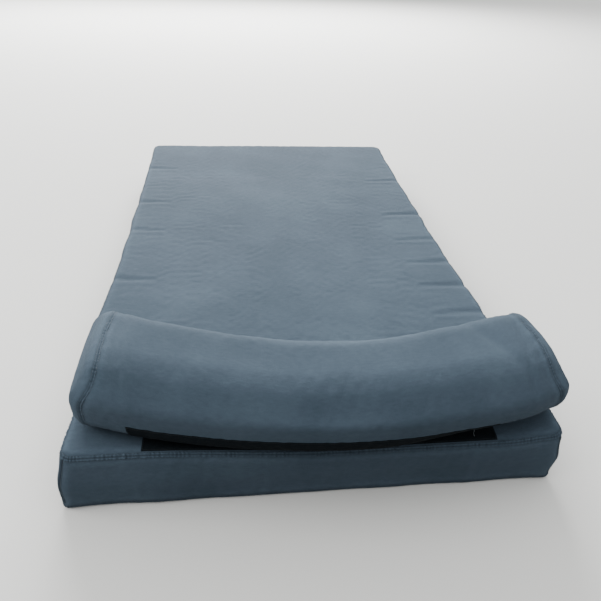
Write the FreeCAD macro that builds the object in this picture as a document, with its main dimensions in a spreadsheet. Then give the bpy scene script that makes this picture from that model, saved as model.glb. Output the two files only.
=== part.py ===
"""Dog bed: a box-cushion foam mattress in a zipped fabric cover, and a bowed foam bolster in its own zipped
cover, held along the front edge by a hook strip on the mattress and a loop strip under the bolster.

Millimetres, +Z up, origin at the centre of the mattress's underside. The front, where the bolster lies, faces -Y.
The bolster bows forward in plan, so its pieces are arcs about one upright axis, the bow axis.
"""
import FreeCAD, Part
import Sketcher
import math
import os

from FreeCAD import Placement, Rotation, Vector

DRIVING_DIMENSIONS = [
    ("bed_width", 710, "mattress across X"),
    ("bed_length", 1210, "mattress along Y"),
    ("bed_height", 100, "mattress thickness"),
    ("corner_round", 18, "upright corner radius of the mattress cover"),
    ("edge_round", 12, "top and bottom edge radius of the mattress cover"),
    ("fabric", 2, "thickness of a cover panel with its backing"),
    ("seam_drop", 6, "height between a boxing seam and the face beside it"),
    ("mitre_depth", 60, "how far the corner seams' cutting wedges reach in"),
    ("foam_split", 70, "height of the glue line between the two foam layers"),
    ("tape_width", 50, "hook strip, front to back"),
    ("tape_length", 500, "hook strip, along X"),
    ("tape_thick", 1.2, "hook strip and loop strip, without their pile"),
    ("tape_inset", 10, "from the mattress's front to the hook strip"),
    ("tape_offset", 7, "hook strip's centre to the right of the mattress's centre"),
    ("tape_gap", 0.3, "between the hooks and the loops"),
    ("bow_radius", 1090, "bolster's front face in plan"),
    ("bow_x", 57, "bow axis, to the right of the mattress's centre"),
    ("bow_overhang", 29, "how far the bolster's front passes the mattress's front"),
    ("bow_half", 27, "degrees from the bow's apex to beyond each end of the bolster"),
    ("bolster_width", 698, "bolster across X, between its flat ends"),
    ("bolster_shift", 13, "bolster's centre to the right of the mattress's centre"),
    ("bolster_depth", 170, "bolster, front to back"),
    ("bolster_height", 103, "bolster, underside to top"),
    ("bolster_round", 42, "bolster's upper long edges"),
    ("bolster_foot_round", 30, "bolster's lower long edges, squashed by its weight"),
    ("cap_round", 14, "bolster's end edges"),
    ("cap_depth", 16, "how far an end cap reaches round the bolster's end edges"),
    ("loop_shift", -9, "loop strip's centre from the mattress's centre"),
    ("loop_front", 0.3, "from the bolster's front to the loop strip's front edge"),
    ("loop_back", 48, "from the bolster's front to the loop strip's rear edge"),
    ("zip_slot", 14, "opening between the two fabric edges beside a zip"),
    ("zip_tape", 9.4, "visible and sewn height of one zip tape"),
    ("zip_tape_thick", 0.6, "zip tape"),
    ("zip_part", 0.6, "from the zip's centre line to each coil"),
    ("coil_height", 2.4, "one coil, across the zip"),
    ("coil_depth", 1.8, "one coil, through the zip"),
    ("coil_sink", 0.2, "coil's face below the cover's face"),
    ("stop_length", 3, "zip end stop"),
    ("relief_depth", 4, "hollow in the foam behind a zip"),
    ("relief_half", 16, "half height of that hollow"),
    ("zip_half", 300, "mattress zip's centre to each end of its coil"),
    ("slot_margin", 8, "opening beyond the mattress zip's coil"),
    ("tape_margin", 22, "zip tape beyond the mattress zip's coil"),
    ("arc_zip_half", 15, "degrees from the bolster zip's centre to each end of its coil"),
    ("arc_stop", 0.19, "degrees that a bolster zip stop covers"),
    ("arc_slot_margin", 0.5, "degrees of opening beyond the bolster zip's coil"),
    ("arc_tape_margin", 1.3, "degrees of tape beyond the bolster zip's coil"),
    ("slider_length", 14, "zip slider, along the zip"),
    ("slider_width", 9.8, "zip slider, across the zip"),
    ("slider_plate", 1.4, "slider's front and back plates"),
    ("slider_clear", 0.4, "running clearance round the coil and the tape"),
    ("slider_parked", 8, "from the coil's end to the slider's centre"),
    ("wall_thick", 1.5, "slider's side walls"),
    ("post_thick", 0.7, "slider's post between the two coils"),
    ("bridge_length", 10, "slider's bridge, along the zip"),
    ("bridge_width", 2.4, "slider's bridge, across the zip"),
    ("bridge_height", 3.2, "slider's bridge above its plate"),
    ("bridge_leg", 1.6, "slider's bridge, each foot"),
    ("bridge_roof", 1, "slider's bridge above its opening"),
    ("pull_bar", 1.2, "pull tab's thickness, and its bar under the bridge"),
    ("pull_reach", 26, "pull tab from its bar's centre to its tip"),
    ("pull_width", 6.4, "pull tab across"),
    ("pull_eye", 5.6, "pull tab's opening, from the bar"),
    ("pull_eye_width", 3.2, "pull tab's opening, across"),
    ("pull_tip_round", 2.6, "pull tab's tip corners"),
]

doc = FreeCAD.newDocument("dog_bed")
sheet = doc.addObject("Spreadsheet::Sheet", "dim")
for row, (alias, value, meaning) in enumerate(DRIVING_DIMENSIONS, start=1):
    sheet.set(f"A{row}", alias)
    sheet.set(f"B{row}", str(value))
    sheet.set(f"C{row}", meaning)
    sheet.setAlias(f"B{row}", alias)
doc.recompute()


def size(alias):
    """A driving dimension's value from the sheet."""
    return float(sheet.get(alias))


def bind(feature, **formulas):
    """Binds properties to formulas over the sheet's cells. x, y and z stand for the placement's base."""
    for name, formula in formulas.items():
        path = f"Placement.Base.{name}" if name in ("x", "y", "z") else name
        feature.setExpression(path, formula)
    return feature


def feature(kind, name, **formulas):
    """A document object of that kind, with its sizes bound."""
    return bind(doc.addObject(kind, name), **formulas)


def box(name, dx, dy, dz, x="0", y="0", z="0"):
    """A Part box from its sizes and its lowest corner."""
    return feature("Part::Box", name, Length=dx, Width=dy, Height=dz, x=x, y=y, z=z)


def common(name, base, tool):
    made = doc.addObject("Part::Common", name)
    made.Base, made.Tool = base, tool
    return made


def cut(name, base, tool):
    made = doc.addObject("Part::Cut", name)
    made.Base, made.Tool = base, tool
    return made


def compound(name, members):
    made = doc.addObject("Part::Compound", name)
    made.Links = members
    return made


def edge_names(shape, wanted):
    return [f"Edge{n}" for n, edge in enumerate(shape.Edges, start=1) if wanted(edge)]


def fillet(body, name, base, wanted, radius):
    """A PartDesign fillet on the edges of base that the test picks."""
    doc.recompute()
    made = body.newObject("PartDesign::Fillet", name)
    made.Base = (base, edge_names(base.Shape, wanted))
    bind(made, Radius=radius)
    return made


def is_upright(edge):
    start, end = edge.Vertexes[0].Point, edge.Vertexes[-1].Point
    return abs(start.z - end.z) > 1 and math.hypot(start.x - end.x, start.y - end.y) < 1e-6


def is_level(edge):
    return edge.BoundBox.ZLength < 1e-6


def is_long_arc(edge, upper):
    """One of the two upper, or the two lower, edges that run along the bolster."""
    is_high = edge.BoundBox.ZMax > size("bolster_height") / 2
    return is_level(edge) and edge.Length > size("bolster_depth") * 1.5 and is_high == upper


def origin_plane(body, role):
    return next(item for item in body.Origin.OriginFeatures if item.Role == role)


def rectangle_sketch(body, name, role, left, right, low, high):
    """A rectangle on one of the body's origin planes, each side at a formula's distance from the axes."""
    sketch = body.newObject("Sketcher::SketchObject", name)
    sketch.AttachmentSupport = [(origin_plane(body, role), "")]
    sketch.MapMode = "FlatFace"
    corners = [Vector(1, 1, 0), Vector(9, 1, 0), Vector(9, 9, 0), Vector(1, 9, 0)]
    for start, end in zip(corners, corners[1:] + corners[:1]):
        sketch.addGeometry(Part.LineSegment(start, end), False)
    for side in range(4):
        sketch.addConstraint(Sketcher.Constraint("Coincident", side, 2, (side + 1) % 4, 1))
    for kind, side in (("Horizontal", 0), ("Vertical", 1), ("Horizontal", 2), ("Vertical", 3)):
        sketch.addConstraint(Sketcher.Constraint(kind, side))
    for kind, vertex, formula in (
        ("DistanceX", 0, left),
        ("DistanceX", 2, right),
        ("DistanceY", 0, low),
        ("DistanceY", 2, high),
    ):
        corner = corners[vertex]
        start_value = corner.x if kind == "DistanceX" else corner.y
        index = sketch.addConstraint(Sketcher.Constraint(kind, -1, 1, vertex, 1, start_value))
        sketch.setExpression(f"Constraints[{index}]", formula)
    return sketch


# ---- places shared by several pieces -------------------------------------------------------------------------

REAR_FACE = "dim.bed_length / 2"
ZIP_HEIGHT = "dim.bed_height / 2"
BOLSTER_BASE = "dim.bed_height + 2 * dim.tape_thick + dim.tape_gap"
BACK_RADIUS = "dim.bow_radius - dim.bolster_depth"
BOLSTER_MIDDLE = "dim.bolster_height / 2"


def bow_axis(turn=0.0):
    """The placement of a piece built about the bow axis: its X axis points forward, to the bow's apex, and then
    that many degrees to the right."""
    centre_y = -size("bed_length") / 2 - size("bow_overhang") + size("bow_radius")
    base = size("bed_height") + 2 * size("tape_thick") + size("tape_gap")
    return Placement(Vector(size("bow_x"), centre_y, base), Rotation(Vector(0, 0, 1), turn - 90))


def arc_bar(name, inner, outer, low, high, half_turn, turn=0.0):
    """A bar of rectangular section that follows the bolster's bow, from its radii, heights and half angle."""
    body = doc.addObject("PartDesign::Body", name)
    sketch = rectangle_sketch(body, name + "_section", "XZ_Plane", inner, outer, low, high)
    turned = body.newObject("PartDesign::Revolution", name + "_turn")
    turned.Profile = sketch
    turned.ReferenceAxis = (sketch, ["V_Axis"])
    turned.Midplane = True
    bind(turned, Angle=f"2 * ({half_turn})")
    body.Placement = bow_axis(turn)
    return body, turned


def solid_box(body, kind, name, dx, dy, dz, x, y, z):
    """An additive or subtractive box of a body, from its sizes and its lowest corner."""
    made = body.newObject("PartDesign::" + kind, name)
    return bind(made, Length=dx, Width=dy, Height=dz, x=x, y=y, z=z)


def bolster_slice(name, start, width):
    """A box that takes the bolster's stretch from start, measured along X from its left end."""
    return box(
        name,
        width,
        "dim.bed_length",
        "4 * dim.bolster_height",
        x=f"dim.bolster_shift - dim.bolster_width / 2 + ({start})",
        y="-dim.bed_length",
        z="dim.bed_height - dim.bolster_height",
    )


# ---- mattress --------------------------------------------------------------------------------------------------


def mattress_block(name, inset):
    """The mattress's outline with rounded corners and edges, drawn in by a formula."""
    body = doc.addObject("PartDesign::Body", name)
    block = body.newObject("PartDesign::AdditiveBox", name + "_box")
    bind(
        block,
        Length=f"dim.bed_width - 2 * ({inset})",
        Width=f"dim.bed_length - 2 * ({inset})",
        Height=f"dim.bed_height - 2 * ({inset})",
        x=f"{inset} - dim.bed_width / 2",
        y=f"{inset} - dim.bed_length / 2",
        z=inset,
    )
    corners = fillet(body, name + "_corners", block, is_upright, f"dim.corner_round - ({inset})")
    fillet(body, name + "_rims", corners, is_level, f"dim.edge_round - ({inset})")
    return body


def mattress_slab(name, low, height):
    """A box wider and longer than the mattress, to take a layer from it."""
    return box(
        name,
        "2 * dim.bed_width",
        "2 * dim.bed_length",
        height,
        x="-dim.bed_width",
        y="-dim.bed_length",
        z=low,
    )


def mattress_side(name, facing_y, facing_x):
    """A wedge that holds one side of the mattress, up to the corner seams at 45 degrees."""
    reach = "dim.mitre_depth"
    half_x, half_y = "dim.bed_width / 2", "dim.bed_length / 2"
    wedge = doc.addObject("Part::Wedge", name)
    if facing_y:
        outer_half, inner_half, face = half_x, f"({half_x} - {reach})", half_y
    else:
        outer_half, inner_half, face = half_y, f"({half_y} - {reach})", half_x
    bind(
        wedge,
        Xmin=f"-({outer_half})",
        Xmax=outer_half,
        X2min=f"-{inner_half}",
        X2max=inner_half,
        Ymin="0",
        Ymax=reach,
        Zmin="dim.seam_drop",
        Zmax="dim.bed_height - dim.seam_drop",
        Z2min="dim.seam_drop",
        Z2max="dim.bed_height - dim.seam_drop",
    )
    turns = {(-1, 0): 0, (0, 1): 90, (1, 0): 180, (0, -1): 270}
    turn = turns[(facing_y, facing_x)]
    half = size("bed_length") / 2 if facing_y else size("bed_width") / 2
    wedge.Placement = Placement(
        Vector(facing_x * half, facing_y * half, 0), Rotation(Vector(0, 0, 1), turn)
    )
    return wedge


def zip_window(name, half_length, half_height, depth):
    """A box that runs in from the mattress's rear face, centred on its zip."""
    return box(
        name,
        f"2 * ({half_length})",
        f"2 * ({depth})",
        f"2 * ({half_height})",
        x=f"-({half_length})",
        y=f"{REAR_FACE} - ({depth})",
        z=f"{ZIP_HEIGHT} - ({half_height})",
    )


cover_outline = mattress_block("mattress_outline", "0")
foam_outline = mattress_block("mattress_filling", "dim.fabric")
cover_shell = cut("mattress_cover", cover_outline, foam_outline)

zip_hollow = zip_window(
    "mattress_zip_hollow",
    "dim.zip_half + dim.tape_margin",
    "dim.relief_half",
    "dim.fabric + dim.relief_depth",
)
lower_layer = mattress_slab("lower_layer", "0", "dim.foam_split")
upper_layer = mattress_slab("upper_layer", "dim.foam_split", "dim.bed_height")
lower_foam = common("lower_foam", foam_outline, lower_layer)
base_foam = cut("base_foam", lower_foam, zip_hollow)
comfort_foam = common("comfort_foam", foam_outline, upper_layer)

top_layer = mattress_slab("top_layer", "dim.bed_height - dim.seam_drop", "dim.bed_height")
base_layer = mattress_slab("base_layer", "dim.seam_drop - dim.bed_height", "dim.bed_height")
top_panel = common("mattress_top_panel", cover_shell, top_layer)
base_panel = common("mattress_base_panel", cover_shell, base_layer)

front_boxing = common("front_boxing", cover_shell, mattress_side("front_side", -1, 0))
right_boxing = common("right_boxing", cover_shell, mattress_side("right_side", 0, 1))
left_boxing = common("left_boxing", cover_shell, mattress_side("left_side", 0, -1))

rear_ring = common("rear_ring", cover_shell, mattress_side("rear_side", 1, 0))
zip_opening = zip_window(
    "mattress_zip_opening",
    "dim.zip_half + dim.slot_margin",
    "dim.zip_slot / 2",
    "2 * dim.fabric",
)
rear_boxing = cut("rear_boxing", rear_ring, zip_opening)
rear_low = mattress_slab("rear_low", "0", ZIP_HEIGHT)
rear_high = mattress_slab("rear_high", ZIP_HEIGHT, "dim.bed_height")
rear_boxing_lower = common("rear_boxing_lower", rear_boxing, rear_low)
rear_boxing_upper = common("rear_boxing_upper", rear_boxing, rear_high)

hook_strip = box(
    "hook_strip",
    "dim.tape_length",
    "dim.tape_width",
    "dim.tape_thick",
    x="dim.tape_offset - dim.tape_length / 2",
    y="dim.tape_inset - dim.bed_length / 2",
    z="dim.bed_height",
)

# ---- mattress zip ----------------------------------------------------------------------------------------------

ABOVE, BELOW = 1, -1


def straight_zip_bar(name, side, half_length, inner, height, face, depth):
    """One half of the mattress zip: a bar above or below the centre line, its face set back from the cover's."""
    edge = f"{ZIP_HEIGHT} + ({inner})" if side == ABOVE else f"{ZIP_HEIGHT} - ({inner}) - ({height})"
    return box(
        name,
        f"2 * ({half_length})",
        depth,
        height,
        x=f"-({half_length})",
        y=f"{REAR_FACE} - ({face}) - ({depth})",
        z=edge,
    )


COIL_BACK = "(dim.coil_sink + dim.coil_depth)"

mattress_zip = [
    straight_zip_bar(
        "mattress_zip_tape_" + word,
        side,
        "dim.zip_half + dim.tape_margin",
        "dim.zip_part",
        "dim.zip_tape",
        COIL_BACK,
        "dim.zip_tape_thick",
    )
    for word, side in (("upper", ABOVE), ("lower", BELOW))
] + [
    straight_zip_bar(
        "mattress_zip_coil_" + word,
        side,
        "dim.zip_half",
        "dim.zip_part",
        "dim.coil_height",
        "dim.coil_sink",
        "dim.coil_depth",
    )
    for word, side in (("upper", ABOVE), ("lower", BELOW))
]


def straight_stop(name, start):
    return box(
        name,
        "dim.stop_length",
        "dim.coil_depth",
        "2 * (dim.zip_part + dim.coil_height)",
        x=start,
        y=f"{REAR_FACE} - {COIL_BACK}",
        z=f"{ZIP_HEIGHT} - dim.zip_part - dim.coil_height",
    )


mattress_zip_stops = compound(
    "mattress_zip_stops",
    [
        straight_stop("mattress_stop_left", "-dim.zip_half - dim.stop_length"),
        straight_stop("mattress_stop_right", "dim.zip_half"),
    ],
)

# ---- bolster ---------------------------------------------------------------------------------------------------


def is_end_edge(edge):
    """An edge round one of the bolster's flat ends, which face along the bow's Y axis."""
    return edge.BoundBox.YLength < 1e-3


def bolster_block(name, inset):
    """The bolster's outline with rounded long edges and ends, drawn in by a formula."""
    body, turned = arc_bar(
        name,
        f"{BACK_RADIUS} + ({inset})",
        f"dim.bow_radius - ({inset})",
        inset,
        f"dim.bolster_height - ({inset})",
        "dim.bow_half",
    )
    lower = fillet(
        body,
        name + "_lower",
        turned,
        lambda edge: is_long_arc(edge, False),
        f"dim.bolster_foot_round - ({inset})",
    )
    fillet(
        body,
        name + "_upper",
        lower,
        lambda edge: is_long_arc(edge, True),
        f"dim.bolster_round - ({inset})",
    )
    half = f"dim.bolster_width / 2 - ({inset})"
    offset = "dim.bolster_shift - dim.bow_x"
    for word, near in (("left", f"{offset} - ({half}) - dim.bolster_width"), ("right", f"{offset} + {half}")):
        trimmed = solid_box(
            body,
            "SubtractiveBox",
            f"{name}_{word}_trim",
            "2 * dim.bow_radius",
            "dim.bolster_width",
            "4 * dim.bolster_height",
            "0",
            near,
            "-dim.bolster_height",
        )
    fillet(body, name + "_ends", trimmed, is_end_edge, f"dim.cap_round - ({inset})")
    return body


bolster_outline = bolster_block("bolster_outline", "0")
bolster_filling = bolster_block("bolster_filling", "dim.fabric")
bolster_cover = cut("bolster_cover", bolster_outline, bolster_filling)


zip_turn = math.degrees(
    math.asin((size("bolster_shift") - size("bow_x")) / (size("bow_radius") - size("bolster_depth")))
)


def arc_zip_bar(name, low, high, face, depth, half_turn):
    """A bar along the bolster's rear, between two heights from the zip's centre line, set back from the cover."""
    return arc_bar(
        name,
        f"{BACK_RADIUS} + ({face})",
        f"{BACK_RADIUS} + ({face}) + ({depth})",
        f"{BOLSTER_MIDDLE} + ({low})",
        f"{BOLSTER_MIDDLE} + ({high})",
        half_turn,
        zip_turn,
    )[0]


bolster_hollow = arc_zip_bar(
    "bolster_zip_hollow",
    "-dim.relief_half",
    "dim.relief_half",
    "0",
    "dim.fabric + dim.relief_depth",
    "dim.arc_zip_half + dim.arc_tape_margin",
)
bolster_foam = cut("bolster_foam", bolster_filling, bolster_hollow)

bolster_opening = arc_zip_bar(
    "bolster_zip_opening",
    "-dim.zip_slot / 2",
    "dim.zip_slot / 2",
    "-dim.fabric",
    "3 * dim.fabric",
    "dim.arc_zip_half + dim.arc_slot_margin",
)
wrap_tube = common(
    "wrap_tube",
    bolster_cover,
    bolster_slice("wrap_slice", "dim.cap_depth", "dim.bolster_width - 2 * dim.cap_depth"),
)
wrap_panel = cut("bolster_wrap_panel", wrap_tube, bolster_opening)
left_cap = common(
    "bolster_left_cap",
    bolster_cover,
    bolster_slice("left_cap_slice", "-dim.cap_depth", "2 * dim.cap_depth"),
)
right_cap = common(
    "bolster_right_cap",
    bolster_cover,
    bolster_slice("right_cap_slice", "dim.bolster_width - dim.cap_depth", "2 * dim.cap_depth"),
)

loop_outline = bolster_block("loop_outline", "-dim.tape_thick")
loop_skin = cut("loop_skin", loop_outline, bolster_outline)
loop_band, _ = arc_bar(
    "loop_band",
    "dim.bow_radius - dim.loop_back",
    "dim.bow_radius - dim.loop_front",
    "-2 * dim.tape_thick",
    BOLSTER_MIDDLE,
    "dim.bow_half",
)
loop_stretch = bolster_slice(
    "loop_stretch",
    "dim.bolster_width / 2 - dim.bolster_shift + dim.loop_shift - dim.tape_length / 2",
    "dim.tape_length",
)
loop_ribbon = common("loop_ribbon", loop_skin, loop_band)
loop_strip = common("loop_strip", loop_ribbon, loop_stretch)

# ---- bolster zip -----------------------------------------------------------------------------------------------


def mirrored_heights(side, inner, height):
    """Lowest and highest formulas of a bar that starts at inner from the centre line, above or below it."""
    near, far = f"({inner})", f"(({inner}) + ({height}))"
    return (near, far) if side == ABOVE else (f"-{far}", f"-{near}")


bolster_zip = []
for word, side in (("upper", ABOVE), ("lower", BELOW)):
    low, high = mirrored_heights(side, "dim.zip_part", "dim.zip_tape")
    half_turn = "dim.arc_zip_half + dim.arc_tape_margin"
    bolster_zip.append(
        arc_zip_bar(
            "bolster_zip_tape_" + word, low, high, COIL_BACK, "dim.zip_tape_thick", half_turn
        )
    )
    low, high = mirrored_heights(side, "dim.zip_part", "dim.coil_height")
    bolster_zip.append(
        arc_zip_bar(
            "bolster_zip_coil_" + word,
            low,
            high,
            "dim.coil_sink",
            "dim.coil_depth",
            "dim.arc_zip_half",
        )
    )


def arc_stop(name, turn):
    made = arc_zip_bar(
        name,
        "-dim.zip_part - dim.coil_height",
        "dim.zip_part + dim.coil_height",
        "dim.coil_sink",
        "dim.coil_depth",
        "dim.arc_stop / 2",
    )
    made.Placement = bow_axis(zip_turn + turn)
    return made


stop_turn = size("arc_zip_half") + size("arc_stop") / 2
bolster_zip_stops = compound(
    "bolster_zip_stops",
    [arc_stop("bolster_stop_left", -stop_turn), arc_stop("bolster_stop_right", stop_turn)],
)

# ---- zip sliders and pull tabs ---------------------------------------------------------------------------------
# Both are drawn with the cover's face as the XZ plane, +Y outwards and the zip along X.

PLATE_FACE = "dim.slider_plate + dim.coil_sink"
PULL_AXIS = "dim.coil_sink + dim.slider_plate + (dim.bridge_height - dim.bridge_roof) / 2"


def zip_slider(name, placement):
    """A slider: two plates joined by a post between the coils, side walls round them, and a bridge on top."""
    body = doc.addObject("PartDesign::Body", name)
    back_face = f"{COIL_BACK} + dim.zip_tape_thick + dim.slider_clear"
    long_side, across = "dim.slider_length", "dim.slider_width"
    front = solid_box(
        body,
        "AdditiveBox",
        name + "_front",
        long_side,
        "dim.slider_plate",
        across,
        f"-{long_side} / 2",
        "dim.coil_sink",
        f"-{across} / 2",
    )
    fillet(
        body,
        name + "_front_corners",
        front,
        lambda edge: edge.BoundBox.YLength > 1 and edge.BoundBox.XLength < 1e-6,
        "dim.slider_width / 5",
    )
    solid_box(
        body,
        "AdditiveBox",
        name + "_post",
        "3 * dim.post_thick",
        f"dim.coil_sink + {back_face}",
        "dim.post_thick",
        f"{long_side} / 4",
        f"-({back_face})",
        "-dim.post_thick / 2",
    )
    solid_box(
        body,
        "AdditiveBox",
        name + "_back",
        f"{long_side} * 0.8",
        "dim.slider_plate",
        f"{across} * 0.8",
        f"-{long_side} * 0.4",
        f"-({back_face}) - dim.slider_plate",
        f"-{across} * 0.4",
    )
    wall_depth = f"{COIL_BACK} - dim.slider_clear + dim.coil_sink"
    for word, low in (("upper", f"{across} / 2 - dim.wall_thick"), ("lower", f"-{across} / 2")):
        solid_box(
            body,
            "AdditiveBox",
            f"{name}_wall_{word}",
            f"{long_side} * 0.7",
            wall_depth,
            "dim.wall_thick",
            f"-{long_side} * 0.35",
            f"dim.slider_clear - {COIL_BACK}",
            low,
        )
    solid_box(
        body,
        "AdditiveBox",
        name + "_bridge",
        "dim.bridge_length",
        "dim.bridge_height",
        "dim.bridge_width",
        "-dim.bridge_length / 2",
        PLATE_FACE,
        "-dim.bridge_width / 2",
    )
    solid_box(
        body,
        "SubtractiveBox",
        name + "_bridge_opening",
        "dim.bridge_length - 2 * dim.bridge_leg",
        "dim.bridge_height - dim.bridge_roof",
        "2 * dim.bridge_width",
        "dim.bridge_leg - dim.bridge_length / 2",
        PLATE_FACE,
        "-dim.bridge_width",
    )
    body.Placement = placement
    return body


def zip_pull(name, placement):
    """A pull tab lying along -X: a plate whose end bar passes under the slider's bridge."""
    body = doc.addObject("PartDesign::Body", name)
    plate = solid_box(
        body,
        "AdditiveBox",
        name + "_plate",
        "dim.pull_reach + dim.pull_bar / 2",
        "dim.pull_bar",
        "dim.pull_width",
        "-dim.pull_reach",
        f"{PULL_AXIS} - dim.pull_bar / 2",
        "-dim.pull_width / 2",
    )
    tip = -size("pull_reach")
    fillet(
        body,
        name + "_tip",
        plate,
        lambda edge: edge.BoundBox.YLength > 1 and abs(edge.BoundBox.XMax - tip) < 1e-6,
        "dim.pull_tip_round",
    )
    solid_box(
        body,
        "SubtractiveBox",
        name + "_eye",
        "dim.pull_eye",
        "2 * dim.pull_bar",
        "dim.pull_eye_width",
        "-dim.pull_eye - dim.pull_bar / 2",
        f"{PULL_AXIS} - dim.pull_bar",
        "-dim.pull_eye_width / 2",
    )
    body.Placement = placement
    return body


parked_x = size("zip_half") - size("slider_parked")
mattress_zip_place = Placement(
    Vector(parked_x, size("bed_length") / 2, size("bed_height") / 2), Rotation()
)

back_radius = size("bow_radius") - size("bolster_depth")
parked_turn = size("arc_zip_half") - math.degrees(size("slider_parked") / back_radius)
facing_back = Placement(Vector(back_radius, 0, size("bolster_height") / 2), Rotation(Vector(0, 0, 1), 90))
bolster_zip_place = bow_axis(zip_turn + parked_turn) * facing_back

mattress_zip_slider = zip_slider("mattress_zip_slider", mattress_zip_place)
mattress_zip_pull = zip_pull("mattress_zip_pull", mattress_zip_place)
bolster_zip_slider = zip_slider("bolster_zip_slider", bolster_zip_place)
bolster_zip_pull = zip_pull("bolster_zip_pull", bolster_zip_place)

# ---- check and write -------------------------------------------------------------------------------------------

SUB_PARTS = [
    base_foam,
    comfort_foam,
    top_panel,
    base_panel,
    front_boxing,
    left_boxing,
    right_boxing,
    rear_boxing_upper,
    rear_boxing_lower,
    hook_strip,
    *mattress_zip,
    mattress_zip_stops,
    mattress_zip_slider,
    mattress_zip_pull,
    bolster_foam,
    wrap_panel,
    left_cap,
    right_cap,
    loop_strip,
    *bolster_zip,
    bolster_zip_stops,
    bolster_zip_slider,
    bolster_zip_pull,
]

doc.recompute()
for item in doc.Objects:
    if {"Invalid", "Error"} & set(item.State):
        raise RuntimeError(f"{item.Label} failed: {item.State}")
for part in SUB_PARTS:
    if part.Shape.isNull() or not part.Shape.isValid() or part.Shape.Volume <= 0:
        raise RuntimeError(f"{part.Label} has no sound shape")

os.makedirs("parts", exist_ok=True)
for part in SUB_PARTS:
    part.Shape.exportStep(f"parts/{part.Label}.step")
    extent = part.Shape.BoundBox
    print(
        f"{part.Label}: {len(part.Shape.Solids)} solid(s), {part.Shape.Volume / 1000:.2f} cm3,"
        f" x {extent.XMin:.1f}..{extent.XMax:.1f}, y {extent.YMin:.1f}..{extent.YMax:.1f},"
        f" z {extent.ZMin:.1f}..{extent.ZMax:.1f}"
    )
print("bow axis", bow_axis().Base, "mattress pull", mattress_zip_place.Base, "bolster pull", bolster_zip_place)
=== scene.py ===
"""The looks of a foam dog bed: a box-cushion mattress and a bowed bolster on hook-and-loop strips.

Everything is in metres, in the CAD model's frame: +Z up, the bolster end at -Y, and the origin at the centre
of the mattress's underside. Sizes come from the CAD nodes' boxes, and the few that the boxes can't give are
named below. Each cover is one smooth surface, settled by a cloth simulation. Its panels, seams, stitches and
tapes are all sampled from that surface, so they stay together.
"""

import math
import bmesh
import bpy
import numpy as np
from mathutils import Matrix, Vector


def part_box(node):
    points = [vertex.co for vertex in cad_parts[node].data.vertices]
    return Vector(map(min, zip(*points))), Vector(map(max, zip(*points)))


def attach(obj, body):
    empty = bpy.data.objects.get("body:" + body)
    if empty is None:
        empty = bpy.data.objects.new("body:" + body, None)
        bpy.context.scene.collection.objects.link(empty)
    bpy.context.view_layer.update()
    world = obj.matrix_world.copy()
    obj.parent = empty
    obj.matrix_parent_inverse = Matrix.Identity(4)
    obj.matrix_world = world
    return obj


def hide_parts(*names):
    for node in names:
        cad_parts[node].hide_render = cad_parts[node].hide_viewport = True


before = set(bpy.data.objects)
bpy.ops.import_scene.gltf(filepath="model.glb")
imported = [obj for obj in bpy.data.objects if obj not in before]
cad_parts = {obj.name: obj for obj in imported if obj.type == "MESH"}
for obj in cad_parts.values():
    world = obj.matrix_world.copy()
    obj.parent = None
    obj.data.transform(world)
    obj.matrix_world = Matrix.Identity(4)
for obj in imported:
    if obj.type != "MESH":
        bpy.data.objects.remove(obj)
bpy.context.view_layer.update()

MM = 0.001

# ---- sizes ------------------------------------------------------------------------------------------------

panel_low, panel_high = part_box("mattress_top_panel")
BED_HALF_X = panel_high.x
BED_HALF_Y = panel_high.y
BED_TOP = panel_high.z
SEAM_DROP = panel_high.z - panel_low.z
BED_CORNER = 18 * MM
BED_EDGE = 12 * MM
BED_SLACK = 3.5 * MM

wrap_low, wrap_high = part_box("bolster_wrap_panel")
left_low, left_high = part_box("bolster_left_cap")
_, right_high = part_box("bolster_right_cap")
BOLSTER_LEFT = left_low.x
BOLSTER_RIGHT = right_high.x
BOLSTER_BASE = wrap_low.z
BOLSTER_HEIGHT = wrap_high.z - wrap_low.z
BOLSTER_DEPTH = 170 * MM
BOLSTER_CORNER = 42 * MM
BOLSTER_FOOT_SQUARENESS = 0.118
BOLSTER_EDGE = 14 * MM
CAP_DEPTH = left_high.x - left_low.x
BOW_RADIUS = 1090 * MM
BOW_X = 57 * MM
BOW_Y = wrap_low.y + BOW_RADIUS
BACK_RADIUS = BOW_RADIUS - BOLSTER_DEPTH

CLOTH = 1.6 * MM
SLOT_HALF = 7 * MM
ZIP_END_GAP = 0.15 * MM


# ---- numbers and noise ------------------------------------------------------------------------------------


def smoothstep(low, high, value):
    t = np.clip((value - low) / (high - low), 0, 1)
    return t * t * (3 - 2 * t)


def bump(value, centre, width):
    """A bell of height 1."""
    return np.exp(-(((value - centre) / width) ** 2))


def ripples(points, wavelength, seed):
    """Smooth noise of about that wavelength at each point, mostly between -1 and 1."""
    draw = np.random.RandomState(seed)
    count = 16
    waves = draw.normal(size=(count, points.shape[-1]))
    waves /= np.linalg.norm(waves, axis=1, keepdims=True)
    waves *= (2 * math.pi / wavelength * draw.uniform(0.6, 1.5, count))[:, None]
    phases = draw.uniform(0, 2 * math.pi, count)
    return np.sin(points @ waves.T + phases).sum(-1) * math.sqrt(2 / count) / 2


def line_ripples(along, wavelength, seed):
    return ripples(np.asarray(along)[..., None], wavelength, seed)


def steps(low, high, spacing):
    """Evenly spaced values from low to high, both included."""
    return np.linspace(low, high, max(2, int(round((high - low) / spacing)) + 1))


# ---- surfaces ---------------------------------------------------------------------------------------------


def cubic_weights(t):
    """The weights of four neighbouring samples, for a smooth curve through the middle two."""
    before = ((2 - t) * t - 1) * t / 2
    here = ((3 * t - 5) * t * t + 2) / 2
    after = ((4 - 3 * t) * t + 1) * t / 2
    beyond = (t - 1) * t * t / 2
    return np.stack([before, here, after, beyond], -1)


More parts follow.
